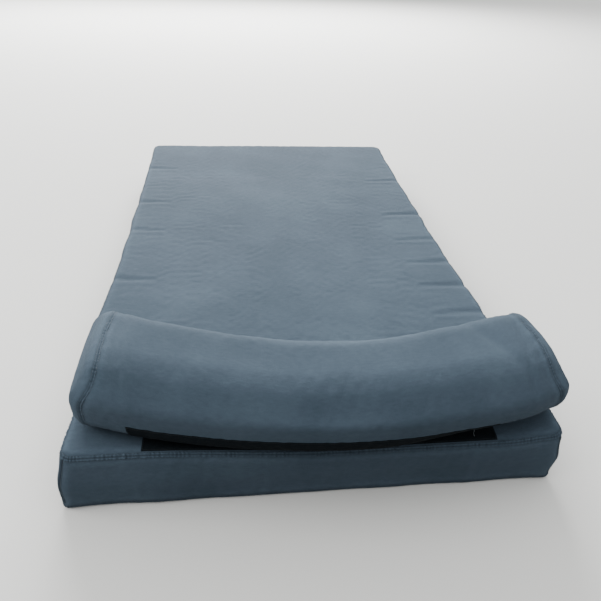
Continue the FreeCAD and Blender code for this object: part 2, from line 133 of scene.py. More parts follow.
class Surface:
    """A smooth surface through a grid of points. points[row, column] is at (us[column], vs[row])."""

    def __init__(self, us, vs, points, inside, closed=False):
        self.us, self.vs, self.inside = us, vs, inside
        wide = np.pad(points, ((1, 1), (0, 0), (0, 0)), mode="reflect", reflect_type="odd")
        if closed:
            wide = np.concatenate([wide[:, -2:-1], wide, wide[:, 1:2]], axis=1)
        else:
            wide = np.pad(wide, ((0, 0), (1, 1), (0, 0)), mode="reflect", reflect_type="odd")
        self.wide = wide
        self.length = us[-1] - us[0] if closed else None

    def at(self, u, v):
        """The point at each (u, v)."""
        u, v = np.broadcast_arrays(np.asarray(u, float), np.asarray(v, float))
        if self.length:
            u = self.us[0] + np.mod(u - self.us[0], self.length)
        column = np.interp(u, self.us, np.arange(len(self.us)))
        row = np.interp(v, self.vs, np.arange(len(self.vs)))
        left = np.minimum(column.astype(int), len(self.us) - 2)
        low = np.minimum(row.astype(int), len(self.vs) - 2)
        across, up = cubic_weights(column - left), cubic_weights(row - low)
        total = np.zeros(u.shape + (3,))
        for m in range(4):
            for n in range(4):
                total += (up[..., m] * across[..., n])[..., None] * self.wide[low + m, left + n]
        return total

    def normal(self, u, v, reach=1.5 * MM):
        """The outward unit normal at each (u, v)."""
        low_u, high_u = u - reach, u + reach
        if self.length is None:
            low_u, high_u = np.maximum(low_u, self.us[0]), np.minimum(high_u, self.us[-1])
        low_v, high_v = np.maximum(v - reach, self.vs[0]), np.minimum(v + reach, self.vs[-1])
        along = self.at(high_u, v) - self.at(low_u, v)
        up = self.at(u, high_v) - self.at(u, low_v)
        return outward(np.cross(along, up), self.at(u, v), self.inside)


def outward(normals, points, inside):
    """Unit normals, turned to point away from the body's inside."""
    normals = normals / np.maximum(np.linalg.norm(normals, axis=-1, keepdims=True), 1e-12)
    facing = (normals * (points - inside(points))).sum(-1, keepdims=True)
    return np.where(facing < 0, -normals, normals)


def grid_normals(points, inside):
    """Outward normals of a grid of points."""
    return outward(np.cross(np.gradient(points, axis=1), np.gradient(points, axis=0)), points, inside)


# ---- the cushion form: a box with rounded corners and edges -----------------------------------------------


class Cushion:
    """The outer skin of a box cushion, as a grid on each end and one round its side.

    p and q run across the two ends and w from one end to the other. Each end has a seam where it meets the
    side. place turns (p, q, w) into a point of the scene, and foot squares the corners on the low side of q.
    """

    def __init__(self, half_p, half_q, half_w, corner, edge, seam_drop, place, inside, spacing, foot=0.0):
        self.edge, self.foot, self.half_w, self.seam_drop = edge, foot, half_w, seam_drop
        self.core_p, self.core_q = half_p - corner, half_q - corner
        self.place, self.inside = place, inside
        self.turn = math.acos(1 - seam_drop / edge) if seam_drop < edge else math.pi / 2
        self.flat = corner - edge
        self.reach = self.flat + edge * self.turn + max(0.0, seam_drop - edge)
        self.tall = 2 * (half_w - seam_drop)
        ring = steps(0, self.reach, spacing / 2)[1:]
        self.ps = self.grid_lines(self.core_p, ring, spacing)
        self.qs = self.grid_lines(self.core_q, ring, spacing)
        self.border = self.border_nodes()
        self.side_vs = np.linspace(0, self.tall, max(6, int(round(self.tall / spacing))) + 1)

    @staticmethod
    def grid_lines(core, ring, spacing):
        middle = steps(-core, core, spacing)
        return np.concatenate([-core - ring[::-1], middle, core + ring])

    def border_nodes(self):
        """(row, column) of each node round the end grid's border, in order."""
        rows, columns = len(self.qs), len(self.ps)
        nodes = [(0, c) for c in range(columns - 1)]
        nodes += [(r, columns - 1) for r in range(rows - 1)]
        nodes += [(rows - 1, c) for c in range(columns - 1, 0, -1)]
        nodes += [(r, 0) for r in range(rows - 1, 0, -1)]
        return np.array(nodes)

    def split(self, s, t):
        """The core point, ring distance and outward direction of each end-grid coordinate."""
        core_s, core_t = np.clip(s, -self.core_p, self.core_p), np.clip(t, -self.core_q, self.core_q)
        ds, dt = s - core_s, t - core_t
        wide, tall = np.abs(ds), np.abs(dt)
        distance = np.maximum(wide, tall)
        safe = np.maximum(distance, 1e-12)
        angle = math.pi / 4 * np.where(wide >= tall, tall / safe, 2 - wide / safe)
        square = 1 + np.where(dt < 0, self.foot, 0) * np.sin(2 * angle) ** 2
        direction = np.stack([np.cos(angle) * np.sign(ds), np.sin(angle) * np.sign(dt)], -1)
        return np.stack([core_s, core_t], -1), distance, direction * square[..., None]

    def end_point(self, s, t, facing):
        """The undeformed point of an end's grid; facing is +1 or -1 along w."""
        core, distance, direction = self.split(s, t)
        past = np.clip((distance - self.flat) / self.edge, 0, self.turn)
        out = np.minimum(distance, self.flat) + self.edge * np.sin(past)
        drop = self.edge * (1 - np.cos(past)) + np.maximum(distance - self.flat - self.edge * self.turn, 0)
        flat = core + out[..., None] * direction
        return self.place(flat[..., 0], flat[..., 1], facing * (self.half_w - drop))

    def side_point(self, s, t, depth):
        """The undeformed point of the side, depth below the first end's seam."""
        core, _, direction = self.split(s, t)
        near = np.minimum(depth, self.tall - depth)
        arc = self.edge * (math.pi / 2 - self.turn)
        past = np.clip(near / self.edge, 0, math.pi / 2 - self.turn) + self.turn
        out = self.flat + self.edge * np.sin(past)
        upright = np.maximum(near - arc, 0) + max(0.0, self.seam_drop - self.edge)
        drop = self.edge * (1 - np.cos(past)) + upright
        w = np.where(depth < self.tall / 2, self.half_w - drop, drop - self.half_w)
        flat = core + out[..., None] * direction
        return self.place(*np.broadcast_arrays(flat[..., 0], flat[..., 1], w))

    def build(self, deform, settle):
        """Makes the three surfaces: deform moves the points, and settle runs over the whole mesh."""
        s, t = np.meshgrid(self.ps, self.qs)
        border_s, border_t = s[tuple(self.border.T)], t[tuple(self.border.T)]
        side = self.side_point(border_s[None], border_t[None], self.side_vs[1:-1, None])
        grids = (self.end_point(s, t, 1), self.end_point(s, t, -1), side)
        points = deform(np.concatenate([grid.reshape(-1, 3) for grid in grids]))

        ends = np.arange(2 * s.size).reshape(2, *s.shape)
        seams = ends[:, self.border[:, 0], self.border[:, 1]]
        middle = ends.size + np.arange(side[..., 0].size).reshape(side.shape[:2])
        side_ids = np.concatenate([seams[:1], middle, seams[1:]])
        side_ids = np.concatenate([side_ids, side_ids[:, :1]], axis=1)
        quads = [grid_quads(ends[0]), grid_quads(ends[1])[:, ::-1], grid_quads(side_ids)[:, ::-1]]
        self.quads = np.concatenate(quads)
        self.points = settle(points, self.quads, seams.reshape(-1))

        ring = self.points[side_ids]
        lengths = np.linalg.norm(np.diff(ring[len(ring) // 2], axis=0), axis=1)
        self.around = np.concatenate([[0], np.cumsum(lengths)])
        self.border_s = np.append(border_s, border_s[0])
        self.border_t = np.append(border_t, border_t[0])
        self.first = Surface(self.ps, self.qs, self.points[ends[0]], self.inside)
        self.last = Surface(self.ps, self.qs, self.points[ends[1]], self.inside)
        self.side = Surface(self.around, self.side_vs, ring, self.inside, closed=True)
        return self

    def around_at(self, s, t):
        """How far round the side the border point nearest to (s, t) is."""
        gap = (self.border_s - s) ** 2 + (self.border_t - t) ** 2
        return self.around[int(np.argmin(gap[:-1]))]

    def seam_strip(self, facing, around, across):
        """Points across a seam: across below 0 is on the end, above 0 on the side."""
        around = np.mod(around, self.around[-1])
        s = np.interp(around, self.around, self.border_s)
        t = np.interp(around, self.around, self.border_t)
        core_s, core_t = np.clip(s, -self.core_p, self.core_p), np.clip(t, -self.core_q, self.core_q)
        share = np.clip((self.reach + np.minimum(across, 0)) / self.reach, 0, 1)
        end = self.first if facing > 0 else self.last
        on_end = end.at(core_s + (s - core_s) * share, core_t + (t - core_t) * share)
        depth = np.maximum(across, 0)
        on_side = self.side.at(around, depth if facing > 0 else self.tall - depth)
        return np.where((across < 0)[..., None], on_end, on_side)


def grid_quads(ids):
    """Quads between the neighbouring ids of a grid."""
    return np.stack([ids[:-1, :-1], ids[:-1, 1:], ids[1:, 1:], ids[1:, :-1]], -1).reshape(-1, 4)


SETTLE_FRAMES = 20
SETTLE_CAP = 6 * MM
CLOTH_GROWTH = 0.003
HOLD_GRADES = 20


def settle_cloth(points, quads, seams, hold, pressure):
    """The points after a short cloth simulation. hold is how firmly each point stays where it is."""
    mesh = bpy.data.meshes.new("settling")
    mesh.from_pydata(points.tolist(), [], quads.tolist())
    cloth = bpy.data.objects.new("settling", mesh)
    bpy.context.scene.collection.objects.link(cloth)
    pins = cloth.vertex_groups.new(name="hold")
    grades = np.round(hold * HOLD_GRADES).astype(int)
    for grade in np.unique(grades):
        pins.add(np.flatnonzero(grades == grade).tolist(), grade / HOLD_GRADES, "REPLACE")
    pins.add(seams.tolist(), 1.0, "REPLACE")
    settings = cloth.modifiers.new("settle", "CLOTH").settings
    settings.quality = 5
    settings.mass = 0.3
    settings.vertex_group_mass = "hold"
    settings.pin_stiffness = 1.0
    settings.tension_stiffness = 20
    settings.compression_stiffness = 20
    settings.shear_stiffness = 8
    settings.bending_stiffness = 1.5
    settings.shrink_min = -CLOTH_GROWTH
    settings.use_pressure = True
    settings.uniform_pressure_force = pressure
    settings.effector_weights.gravity = 0
    scene = bpy.context.scene
    for number in range(1, SETTLE_FRAMES + 1):
        scene.frame_set(number)
    shown = cloth.evaluated_get(bpy.context.evaluated_depsgraph_get())
    moved = np.empty(len(points) * 3)
    shown.data.vertices.foreach_get("co", moved)
    moved = moved.reshape(-1, 3) - points
    far = np.linalg.norm(moved, axis=1, keepdims=True)
    moved *= SETTLE_CAP * np.tanh(far / SETTLE_CAP) / np.maximum(far, 1e-9)
    bpy.data.objects.remove(cloth)
    bpy.data.meshes.remove(mesh)
    scene.frame_set(1)
    return points + moved


# ---- materials --------------------------------------------------------------------------------------------


class Shader:
    """A node material under construction: small calls that add a node and return its output."""

    def __init__(self, name, roughness, **constants):
        self.material = bpy.data.materials.new(name)
        self.material.use_nodes = True
        self.tree = self.material.node_tree
        self.surface = self.tree.nodes["Principled BSDF"]
        self.surface.inputs["Roughness"].default_value = roughness
        for socket, value in constants.items():
            self.surface.inputs[socket.replace("_", " ")].default_value = value

    def add(self, kind, inputs=(), output=0, **settings):
        made = self.tree.nodes.new(kind)
        for setting, value in settings.items():
            setattr(made, setting, value)
        for socket, value in dict(inputs).items():
            if isinstance(value, bpy.types.NodeSocket):
                self.tree.links.new(value, made.inputs[socket])
            else:
                made.inputs[socket].default_value = value
        return made.outputs[output]

    def coordinates(self, source, scale=(1, 1, 1), turn=0.0):
        raw = self.add("ShaderNodeTexCoord", output=source)
        return self.add("ShaderNodeMapping", {"Vector": raw, "Scale": scale, "Rotation": (0, 0, turn)})

    def noise(self, vector, scale, detail=3.0, roughness=0.5):
        inputs = {"Vector": vector, "Scale": scale, "Detail": detail, "Roughness": roughness}
        return self.add("ShaderNodeTexNoise", inputs)

    def wave(self, vector, scale, direction, distortion):
        inputs = {"Vector": vector, "Scale": scale, "Distortion": distortion, "Detail": 1.0}
        bands = {"wave_type": "BANDS", "bands_direction": direction}
        return self.add("ShaderNodeTexWave", inputs, output=1, **bands)

    def maths(self, operation, first, second=0.0, third=0.0):
        return self.add("ShaderNodeMath", {0: first, 1: second, 2: third}, operation=operation)

    def ramp(self, value, stops):
        """The colour at each value, along (value, colour) stops."""
        made = self.tree.nodes.new("ShaderNodeValToRGB")
        self.tree.links.new(value, made.inputs["Fac"])
        elements = made.color_ramp.elements
        elements[0].position, elements[0].color = stops[0][0], (*stops[0][1], 1)
        elements[1].position, elements[1].color = stops[-1][0], (*stops[-1][1], 1)
        for position, colour in stops[1:-1]:
            elements.new(position).color = (*colour, 1)
        return made.outputs["Color"]

    def tone(self, value, low, high, dark, light):
        """Makes the surface's colour run from dark to light as value goes from low to high."""
        self.colour(self.ramp(value, [(low, dark), (high, light)]))

    def multiply(self, first, second):
        """The product of two colours."""
        made = self.tree.nodes.new("ShaderNodeMix")
        made.data_type = "RGBA"
        made.blend_type = "MULTIPLY"
        made.inputs[0].default_value = 1.0
        self.tree.links.new(first, made.inputs[6])
        self.tree.links.new(second, made.inputs[7])
        return made.outputs[2]

    def colour(self, value):
        if isinstance(value, bpy.types.NodeSocket):
            self.tree.links.new(value, self.surface.inputs["Base Color"])
        else:
            self.surface.inputs["Base Color"].default_value = value

    def roughness(self, value):
        self.tree.links.new(value, self.surface.inputs["Roughness"])

    def relief(self, *layers):
        """Bump from (height, distance in metres) layers, one over another."""
        normal = None
        for height, distance in layers:
            inputs = {"Height": height, "Distance": distance, "Strength": 1.0}
            if normal is not None:
                inputs["Normal"] = normal
            normal = self.add("ShaderNodeBump", inputs)
        self.tree.links.new(normal, self.surface.inputs["Normal"])


def weave(shader, vector, threads_per_metre):
    """Height of a plain weave: warp and weft bands that pass over each other in turn."""
    scale = threads_per_metre / 2
    warp = shader.wave(vector, scale, "X", 0.6)
    weft = shader.wave(vector, scale, "Y", 0.6)
    return shader.maths("MAXIMUM", warp, weft)


def brushed_fabric(name, dark, middle, light):
    """A matte suede-like microfibre: fine weave, nap brushed into soft patches, and a per-point value that
    paints shade into seam creases and highlight onto seam pads, with a little rubbed wear.
    """
    sheen = {"Sheen_Weight": 0.02, "Sheen_Roughness": 0.45, "Sheen_Tint": (0.6, 0.8, 1.0, 1)}
    shader = Shader(name, 0.9, Specular_IOR_Level=0.06, **sheen)
    metric = shader.coordinates("UV")
    patches = shader.noise(shader.coordinates("Object"), 7.0, 4.0, 0.55)
    nap = shader.noise(shader.coordinates("UV", (1, 2.2, 1)), 95.0, 4.0, 0.6)
    grain = shader.noise(metric, 1500.0, 2.0, 0.7)
    blend = shader.maths("MULTIPLY_ADD", nap, 0.34, shader.maths("MULTIPLY", patches, 0.66))
    base = shader.ramp(blend, [(0.34, dark), (0.5, middle), (0.66, light)])
    speckle = shader.ramp(grain, [(0.25, (0.80, 0.80, 0.81)), (0.75, (1.16, 1.16, 1.15))])
    # Painted shade and highlight: a per-point value, darker in seam creases and pucker hollows and paler on
    # seam pads and where rubbed, that scales the colour.
    painted_shade_and_wear = shader.add("ShaderNodeAttribute", output=2, attribute_name="shade_and_wear")
    gain = shader.maths("MULTIPLY_ADD", painted_shade_and_wear, shader.maths("MULTIPLY_ADD", nap, 0.8, 0.15), 1.0)
    shader.colour(shader.multiply(shader.multiply(base, speckle), gain))
    shader.relief((nap, 0.5 * MM), (weave(shader, metric, 1500), 0.10 * MM), (grain, 0.12 * MM))
    return shader.material


def foam_material(name, dark, light):
    shader = Shader(name, 0.95, Specular_IOR_Level=0.2)
    place = shader.coordinates("Object")
    cells = shader.add("ShaderNodeTexVoronoi", {"Vector": place, "Scale": 900.0})
    shader.tone(shader.noise(place, 12.0), 0.35, 0.65, dark, light)
    shader.relief((cells, 0.5 * MM))
    return shader.material


def tape_material(name, dark, light, ribs_per_metre, nap):
    """A woven nylon tape: ribs along its length and across it, with a fuzz of hooks or loops."""
    shader = Shader(name, 0.8, Specular_IOR_Level=0.04)
    metric = shader.coordinates("UV")
    fuzz = shader.noise(metric, 2600.0, 2.0, 0.8)
    ribs = shader.wave(metric, ribs_per_metre / 2, "X", 0.4)
    cross = shader.wave(metric, ribs_per_metre / 3, "Y", 0.4)
    tone = shader.maths("MULTIPLY_ADD", fuzz, nap, shader.maths("MULTIPLY", ribs, 1 - nap))
    shader.tone(tone, 0.2, 0.85, dark, light)
    shader.relief((shader.maths("MAXIMUM", ribs, cross), 0.15 * MM), (fuzz, 0.35 * MM * nap))
    return shader.material


def thread_material(name, dark, light):
    shader = Shader(name, 0.6, Specular_IOR_Level=0.15)
    twist = shader.wave(shader.coordinates("Object", turn=0.6), 900.0, "DIAGONAL", 1.0)
    shader.tone(twist, 0.2, 0.8, dark, light)
    shader.relief((twist, 0.1 * MM))
    return shader.material


def nylon_material(name, dark, light):
    shader = Shader(name, 0.38, Specular_IOR_Level=0.5)
    mottle = shader.noise(shader.coordinates("Object"), 400.0, 2.0)
    shader.tone(mottle, 0.3, 0.7, dark, light)
    shader.relief((mottle, 0.05 * MM))
    return shader.material


def metal_material(name, dark, light):
    """Gunmetal plating with fine brush marks and rubbed, brighter patches."""
    shader = Shader(name, 0.35, Metallic=1.0)
    brushed = shader.noise(shader.coordinates("Object", (60, 900, 900)), 4.0)
    rubbed = shader.noise(shader.coordinates("Object"), 260.0)
    shader.tone(rubbed, 0.35, 0.7, dark, light)
    shader.roughness(shader.maths("MULTIPLY_ADD", brushed, 0.25, 0.22))
    shader.relief((brushed, 0.02 * MM))
    return shader.material


COVER = brushed_fabric("cover_fabric", (0.021, 0.031, 0.041), (0.026, 0.037, 0.049), (0.031, 0.044, 0.057))
BASE_FOAM = foam_material("base_foam", (0.66, 0.63, 0.50), (0.76, 0.73, 0.60))
COMFORT_FOAM = foam_material("comfort_foam", (0.48, 0.57, 0.62), (0.58, 0.67, 0.72))
FILLING = foam_material("bolster_foam", (0.70, 0.68, 0.60), (0.80, 0.78, 0.70))
HOOK_TAPE = tape_material("hook_tape", (0.0016, 0.0024, 0.0032), (0.005, 0.0074, 0.0092), 1400, 0.5)
LOOP_TAPE = tape_material("loop_tape", (0.0010, 0.0018, 0.0026), (0.0026, 0.0044, 0.0060), 1100, 0.85)
ZIP_TAPE = tape_material("zip_tape", (0.015, 0.022, 0.029), (0.028, 0.039, 0.050), 1600, 0.25)
COVER_THREAD = thread_material("cover_thread", (0.010, 0.015, 0.020), (0.020, 0.029, 0.038))
TAPE_THREAD = thread_material("tape_thread", (0.0015, 0.002, 0.0026), (0.0045, 0.006, 0.0075))
STRAY_THREAD = thread_material("stray_thread", (0.13, 0.15, 0.16), (0.20, 0.22, 0.23))
COIL = nylon_material("zip_coil", (0.008, 0.012, 0.016), (0.018, 0.025, 0.032))
GUNMETAL = metal_material("zip_metal", (0.07, 0.073, 0.078), (0.16, 0.164, 0.172))


# ---- pieces -----------------------------------------------------------------------------------------------


def add_piece(name, points, quads, material, body, slot, nodes=(), uv=None, shade_and_wear=None, fill=None):
    """Makes a piece from points and faces, and says what it rides on and replaces. The slot it is given for
    its finish is not used.
    """
    corners = points[quads]
    flux = np.cross(corners[:, 1] - corners[:, 0], corners[:, 2] - corners[:, 0])
    flux += np.cross(corners[:, 2] - corners[:, 0], corners[:, -1] - corners[:, 0])
    middle = points.mean(0)
    if ((corners.mean(1) - middle) * flux).sum() < 0:
        quads = quads[:, ::-1]
    mesh = bpy.data.meshes.new(name)
    mesh.from_pydata(points.tolist(), [], quads.tolist())
    mesh.materials.append(material)
    mesh.shade_smooth()
    if uv is not None:
        layer = mesh.uv_layers.new(name="fabric")
        layer.data.foreach_set("uv", uv[quads.reshape(-1)].astype(np.float32).reshape(-1))
    # The per-point painted shade and highlight of the seams, with some rubbed wear, read by the cover's
    # shader.
    if shade_and_wear is not None:
        layer = mesh.attributes.new("shade_and_wear", "FLOAT", "POINT")
        layer.data.foreach_set("value", shade_and_wear.astype(np.float32))
    piece = bpy.data.objects.new(name, mesh)
    bpy.context.scene.collection.objects.link(piece)
    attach(piece, body)
    if nodes:
        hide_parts(*nodes)
    return piece


def closed_sheet(outer, inner, looped=False):
    """Points and quads of a thin closed piece between two grids. looped joins its last column to the first."""
    rows, columns = outer.shape[:2]
    ids = np.arange(rows * columns).reshape(rows, columns)
    if looped:
        ids = np.concatenate([ids, ids[:, :1]], axis=1)
    back = ids + rows * columns
    rims = [
        np.stack([ids[0, :-1], back[0, :-1], back[0, 1:], ids[0, 1:]], -1),
        np.stack([ids[-1, 1:], back[-1, 1:], back[-1, :-1], ids[-1, :-1]], -1),
    ]
    if not looped:
        rims += [
            np.stack([ids[1:, 0], back[1:, 0], back[:-1, 0], ids[:-1, 0]], -1),
            np.stack([ids[:-1, -1], back[:-1, -1], back[1:, -1], ids[1:, -1]], -1),
        ]
    points = np.concatenate([outer.reshape(-1, 3), inner.reshape(-1, 3)])
    return points, np.concatenate([grid_quads(ids), grid_quads(back)[:, ::-1], *rims])


def sheet_piece(name, points, height, thick, inside, uv, looped=False, shade_and_wear=None, **details):
    """A closed sheet of that thickness on a grid of points, with its outer face height above them."""
    reach = points
    if looped:
        reach = np.concatenate([points[:, -1:], points, points[:, :1]], axis=1)
    normals = grid_normals(reach, inside)
    if looped:
        normals = normals[:, 1:-1]
    outer = points + normals * np.broadcast_to(height, points.shape[:2])[..., None]
    outer[..., 2] = np.maximum(outer[..., 2], 0)
    inner = outer - normals * thick
    made, quads = closed_sheet(outer, inner, looped)
    uv = np.concatenate([uv.reshape(-1, 2)] * 2)
    # The per-point painted shade and wear, copied to both faces of the sheet.
    if shade_and_wear is None:
        shade_and_wear = np.zeros(points.shape[:2])
    shade_and_wear = np.concatenate([shade_and_wear.reshape(-1)] * 2)
    return add_piece(name, made, quads, uv=uv, shade_and_wear=shade_and_wear, **details), outer, normals


def tube_quads(rings, sides, count):
    """The point ids of many tubes, by tube, ring and side, and the quads of their walls."""
    ids = np.arange(count * rings * sides).reshape(count, rings, sides)
    turned = np.roll(ids, -1, axis=2)
    walls = np.stack([ids[:, :-1], ids[:, 1:], turned[:, 1:], turned[:, :-1]], -1).reshape(-1, 4)
    return ids, walls


# Stitches: their pitch, length, thread radius and lift off the cloth.
COVER_STITCH = (4.2 * MM, 3.3 * MM, 0.42 * MM, 0.30 * MM)
TAPE_STITCH = (3.4 * MM, 2.8 * MM, 0.30 * MM, 0.22 * MM)
COIL_STITCH = (1.46 * MM, 1.3 * MM, 0.18 * MM, 0.1 * MM)
STITCH_BARE = 2 * MM
THREAD_SIDES = 6
EDGE_SAMPLES = 220


def stitch_line(points, normals, pitch, length, radius, lift):
    """Points and quads of a row of stitches on a line: short round threads that dive in at both ends."""
    gaps = np.linalg.norm(np.diff(points, axis=0), axis=1)
    along = np.concatenate([[0], np.cumsum(gaps)])
    count = max(1, int((along[-1] - STITCH_BARE) / pitch))
    centres = (np.arange(count) + 0.5) * along[-1] / count
    offsets = np.array([-0.5, -0.36, 0.0, 0.36, 0.5]) * length
    heights = np.array([-1.1, 0.45, 1.0, 0.45, -1.1]) * lift
    widths = np.array([0.35, 0.9, 1.0, 0.9, 0.35]) * radius
    places = centres[:, None] + offsets
    spots = np.stack([np.interp(places, along, points[:, k]) for k in range(3)], -1)
    ups = np.stack([np.interp(places, along, normals[:, k]) for k in range(3)], -1)
    ups /= np.linalg.norm(ups, axis=-1, keepdims=True)
    tangents = np.gradient(spots, axis=1)
    tangents /= np.linalg.norm(tangents, axis=-1, keepdims=True)
    across, ups = np.cross(tangents, ups)[:, :, None], ups[:, :, None]
    turns = np.arange(THREAD_SIDES)[:, None] / THREAD_SIDES * 2 * math.pi
    ring = np.cos(turns) * across + np.sin(turns) * ups
    made = spots[:, :, None] + ups * heights[:, None, None] + ring * widths[:, None, None]
    ids, walls = tube_quads(len(offsets), THREAD_SIDES, count)
    caps = []
    for ends, order in ((ids[:, 0], 1), (ids[:, -1], -1)):
        caps += [ends[:, [0, 1, 2, 3]][:, ::order], ends[:, [0, 3, 4, 5]][:, ::order]]
    return made.reshape(-1, 3), np.concatenate([walls, *caps])


class Seamstress:
    """Collects rows of stitches of one kind, and makes them into one piece."""

    def __init__(self, stitch):
        self.stitch = stitch
        self.points, self.quads, self.count = [], [], 0

    def sew(self, points, normals):
        made, quads = stitch_line(points, normals, *self.stitch)
        self.points.append(made)
        self.quads.append(quads + self.count)
        self.count += len(made)

    def sew_on(self, surface, u, v, lift=0.0):
        """A row along a line of places on a surface."""
        facing = surface.normal(u, v)
        self.sew(surface.at(u, v) + facing * lift, facing)

    def sew_round(self, surface, low, high, lift):
        """Four rows round the rectangle of a surface between two (u, v) corners."""
        corners = (low, (high[0], low[1]), high, (low[0], high[1]), low)
        share = np.linspace(0, 1, EDGE_SAMPLES)
        for (u0, v0), (u1, v1) in zip(corners, corners[1:]):
            self.sew_on(surface, u0 + (u1 - u0) * share, v0 + (v1 - v0) * share, lift)

    def finish(self, name, material, body, slot):
        points, quads = np.concatenate(self.points), np.concatenate(self.quads)
        return add_piece(name, points, quads, material, body, slot)


# ---- the mattress cover -----------------------------------------------------------------------------------

ZIP_Z = BED_TOP / 2
ZIP_HALF = 300 * MM
SLOT_X = 308 * MM
SIDE_X, SIDE_Y = BED_HALF_X - BED_SLACK, BED_HALF_Y - BED_SLACK
LEAST_HOLD = 0.35

# Creases of the top's long edges: where each is along Y, and how strong it is.
CREASES = ((0.117, 1.0), (-0.012, 0.5), (-0.115, 0.8), (-0.207, 1.0), (-0.300, 0.7), (0.330, 0.5))
LEFT_CREASES = ((0.42, 0.6), (0.20, 0.8), (0.05, 0.5), (-0.16, 0.8), (-0.31, 0.6))
CREASE_LEAN, LEFT_CREASE_LEAN = 0.10, 0.14


def bed_place(p, q, w):
    return np.stack([p, q, w + BED_TOP / 2], -1)


def bed_inside(points):
    """A place inside the mattress near each point, so that outward is away from it."""
    inset = 60 * MM
    middle = np.array(points, float)
    middle[..., 0] = np.clip(middle[..., 0], inset - BED_HALF_X, BED_HALF_X - inset)
    middle[..., 1] = np.clip(middle[..., 1], inset - BED_HALF_Y, BED_HALF_Y - inset)
    middle[..., 2] = BED_TOP / 2
    return middle


def rear_zip_hold(points):
    """1 on the strip of the rear that carries the zip, falling to 0 round it."""
    x, y, z = points[..., 0], points[..., 1], points[..., 2]
    near = smoothstep(BED_HALF_Y - 12 * MM, BED_HALF_Y - 5 * MM, y)
    level = 1 - smoothstep(14 * MM, 30 * MM, np.abs(z - ZIP_Z))
    return near * level * (1 - smoothstep(SLOT_X + 6 * MM, SLOT_X + 40 * MM, np.abs(x)))


def edge_creases(y, creases, width):
    return sum(strength * bump(y, place, width) for place, strength in creases)


def front_sag(x):
    """How much the front edge gives at x, from 0 at its left end to 1 along its middle and right."""
    return smoothstep(-0.26, 0.03, x) * (1 - 0.5 * smoothstep(0.27, 0.355, x))


class BedPlaces:
    """Where points are on the mattress: weights for its four sides and its top, and a level from 0 to 1."""

    def __init__(self, points):
        self.x, self.y, self.z = points.T
        near = 30 * MM
        self.right = smoothstep(SIDE_X - near, SIDE_X, self.x)
        self.left = smoothstep(SIDE_X - near, SIDE_X, -self.x)
        self.front = smoothstep(SIDE_Y - near, SIDE_Y, -self.y)
        self.rear = smoothstep(SIDE_Y - near, SIDE_Y, self.y)
        self.level = np.clip(self.z / BED_TOP, 0, 1)
        self.top = smoothstep(0.6, 0.95, self.level)
        self.zipped = rear_zip_hold(points) > 0


def pull_in(place, reach, ground):
    """How far the foot of a side moves away from the middle, where it rests on the ground."""
    inset = np.clip(reach - np.abs(place), 0, None)
    return np.sign(place) * 0.62 * inset * (1 - smoothstep(5 * MM, 32 * MM, inset)) * ground


def bed_belly(at):
    """The sides belly out low down, and their feet are pressed outward by the ground."""
    ground = 1 - smoothstep(0, 15 * MM, at.z)
    low = (1 - smoothstep(0.38, 1.0, at.level)) * MM
    corner = 2.5 * at.front * (at.left + at.right)
    right = at.right * (12.0 + 1.6 * line_ripples(at.y, 0.20, 5))
    left = at.left * (12.0 + 1.6 * line_ripples(at.y, 0.22, 6))
    front = at.front * (7.0 + line_ripples(at.x, 0.16, 7))
    x = pull_in(at.x, SIDE_X, ground) + (right - left + corner * np.sign(at.x)) * low
    y = pull_in(at.y, SIDE_Y, ground) - (front + corner) * low
    return x, y, 0.0


def bed_front(at):
    """The front edge gives forward and down."""
    sag = front_sag(at.x) * MM
    forward = 7 * sag * at.front * smoothstep(0.25, 0.9, at.level)
    down = 9 * sag * smoothstep(0.545, 0.60, -at.y) * smoothstep(0.3, 0.95, at.level)
    return 0.0, -forward, -down


def bed_bulges(at):
    """The long sides bulge near the bolster, and the rear all along."""
    beside = smoothstep(0.35, 0.52, -at.y)
    widening = 5 * smoothstep(0.1, 0.5, at.level) + 6 * smoothstep(0.5, 0.95, at.level)
    upper = smoothstep(0.3, 0.8, at.level)
    right = beside * widening + 4.5 * bump(at.y, -0.26, 0.11) * upper
    left = 9 * smoothstep(0.06, 0.36, -at.y) * (1 - smoothstep(0.37, 0.50, -at.y)) * upper
    rear = 3.5 * np.where(at.zipped, 1, np.sin(math.pi * at.level)) + 4.5 * smoothstep(0.7, 0.95, at.level)
    return (at.right * right - at.left * left) * MM, at.rear * rear * MM, 0.0


def bed_edges(at):
    """The top's long edges wander, and creases pinch them."""
    wander = line_ripples(at.y, 0.17, 4)
    right = at.right * (1.6 * wander + 2.0 * smoothstep(0.25, 0.45, at.y))
    edges = (right - at.left * 1.2 * wander) * at.top
    pinch = 2.0 * edge_creases(at.y, LEFT_CREASES, 13 * MM) * smoothstep(SIDE_X - 6 * MM, SIDE_X, -at.x)
    pinch = pinch - 2.6 * edge_creases(at.y, CREASES, 13 * MM) * smoothstep(SIDE_X - 6 * MM, SIDE_X, at.x)
    return (edges + pinch * smoothstep(0.2, 0.9, at.level)) * MM, 0.0, 0.0


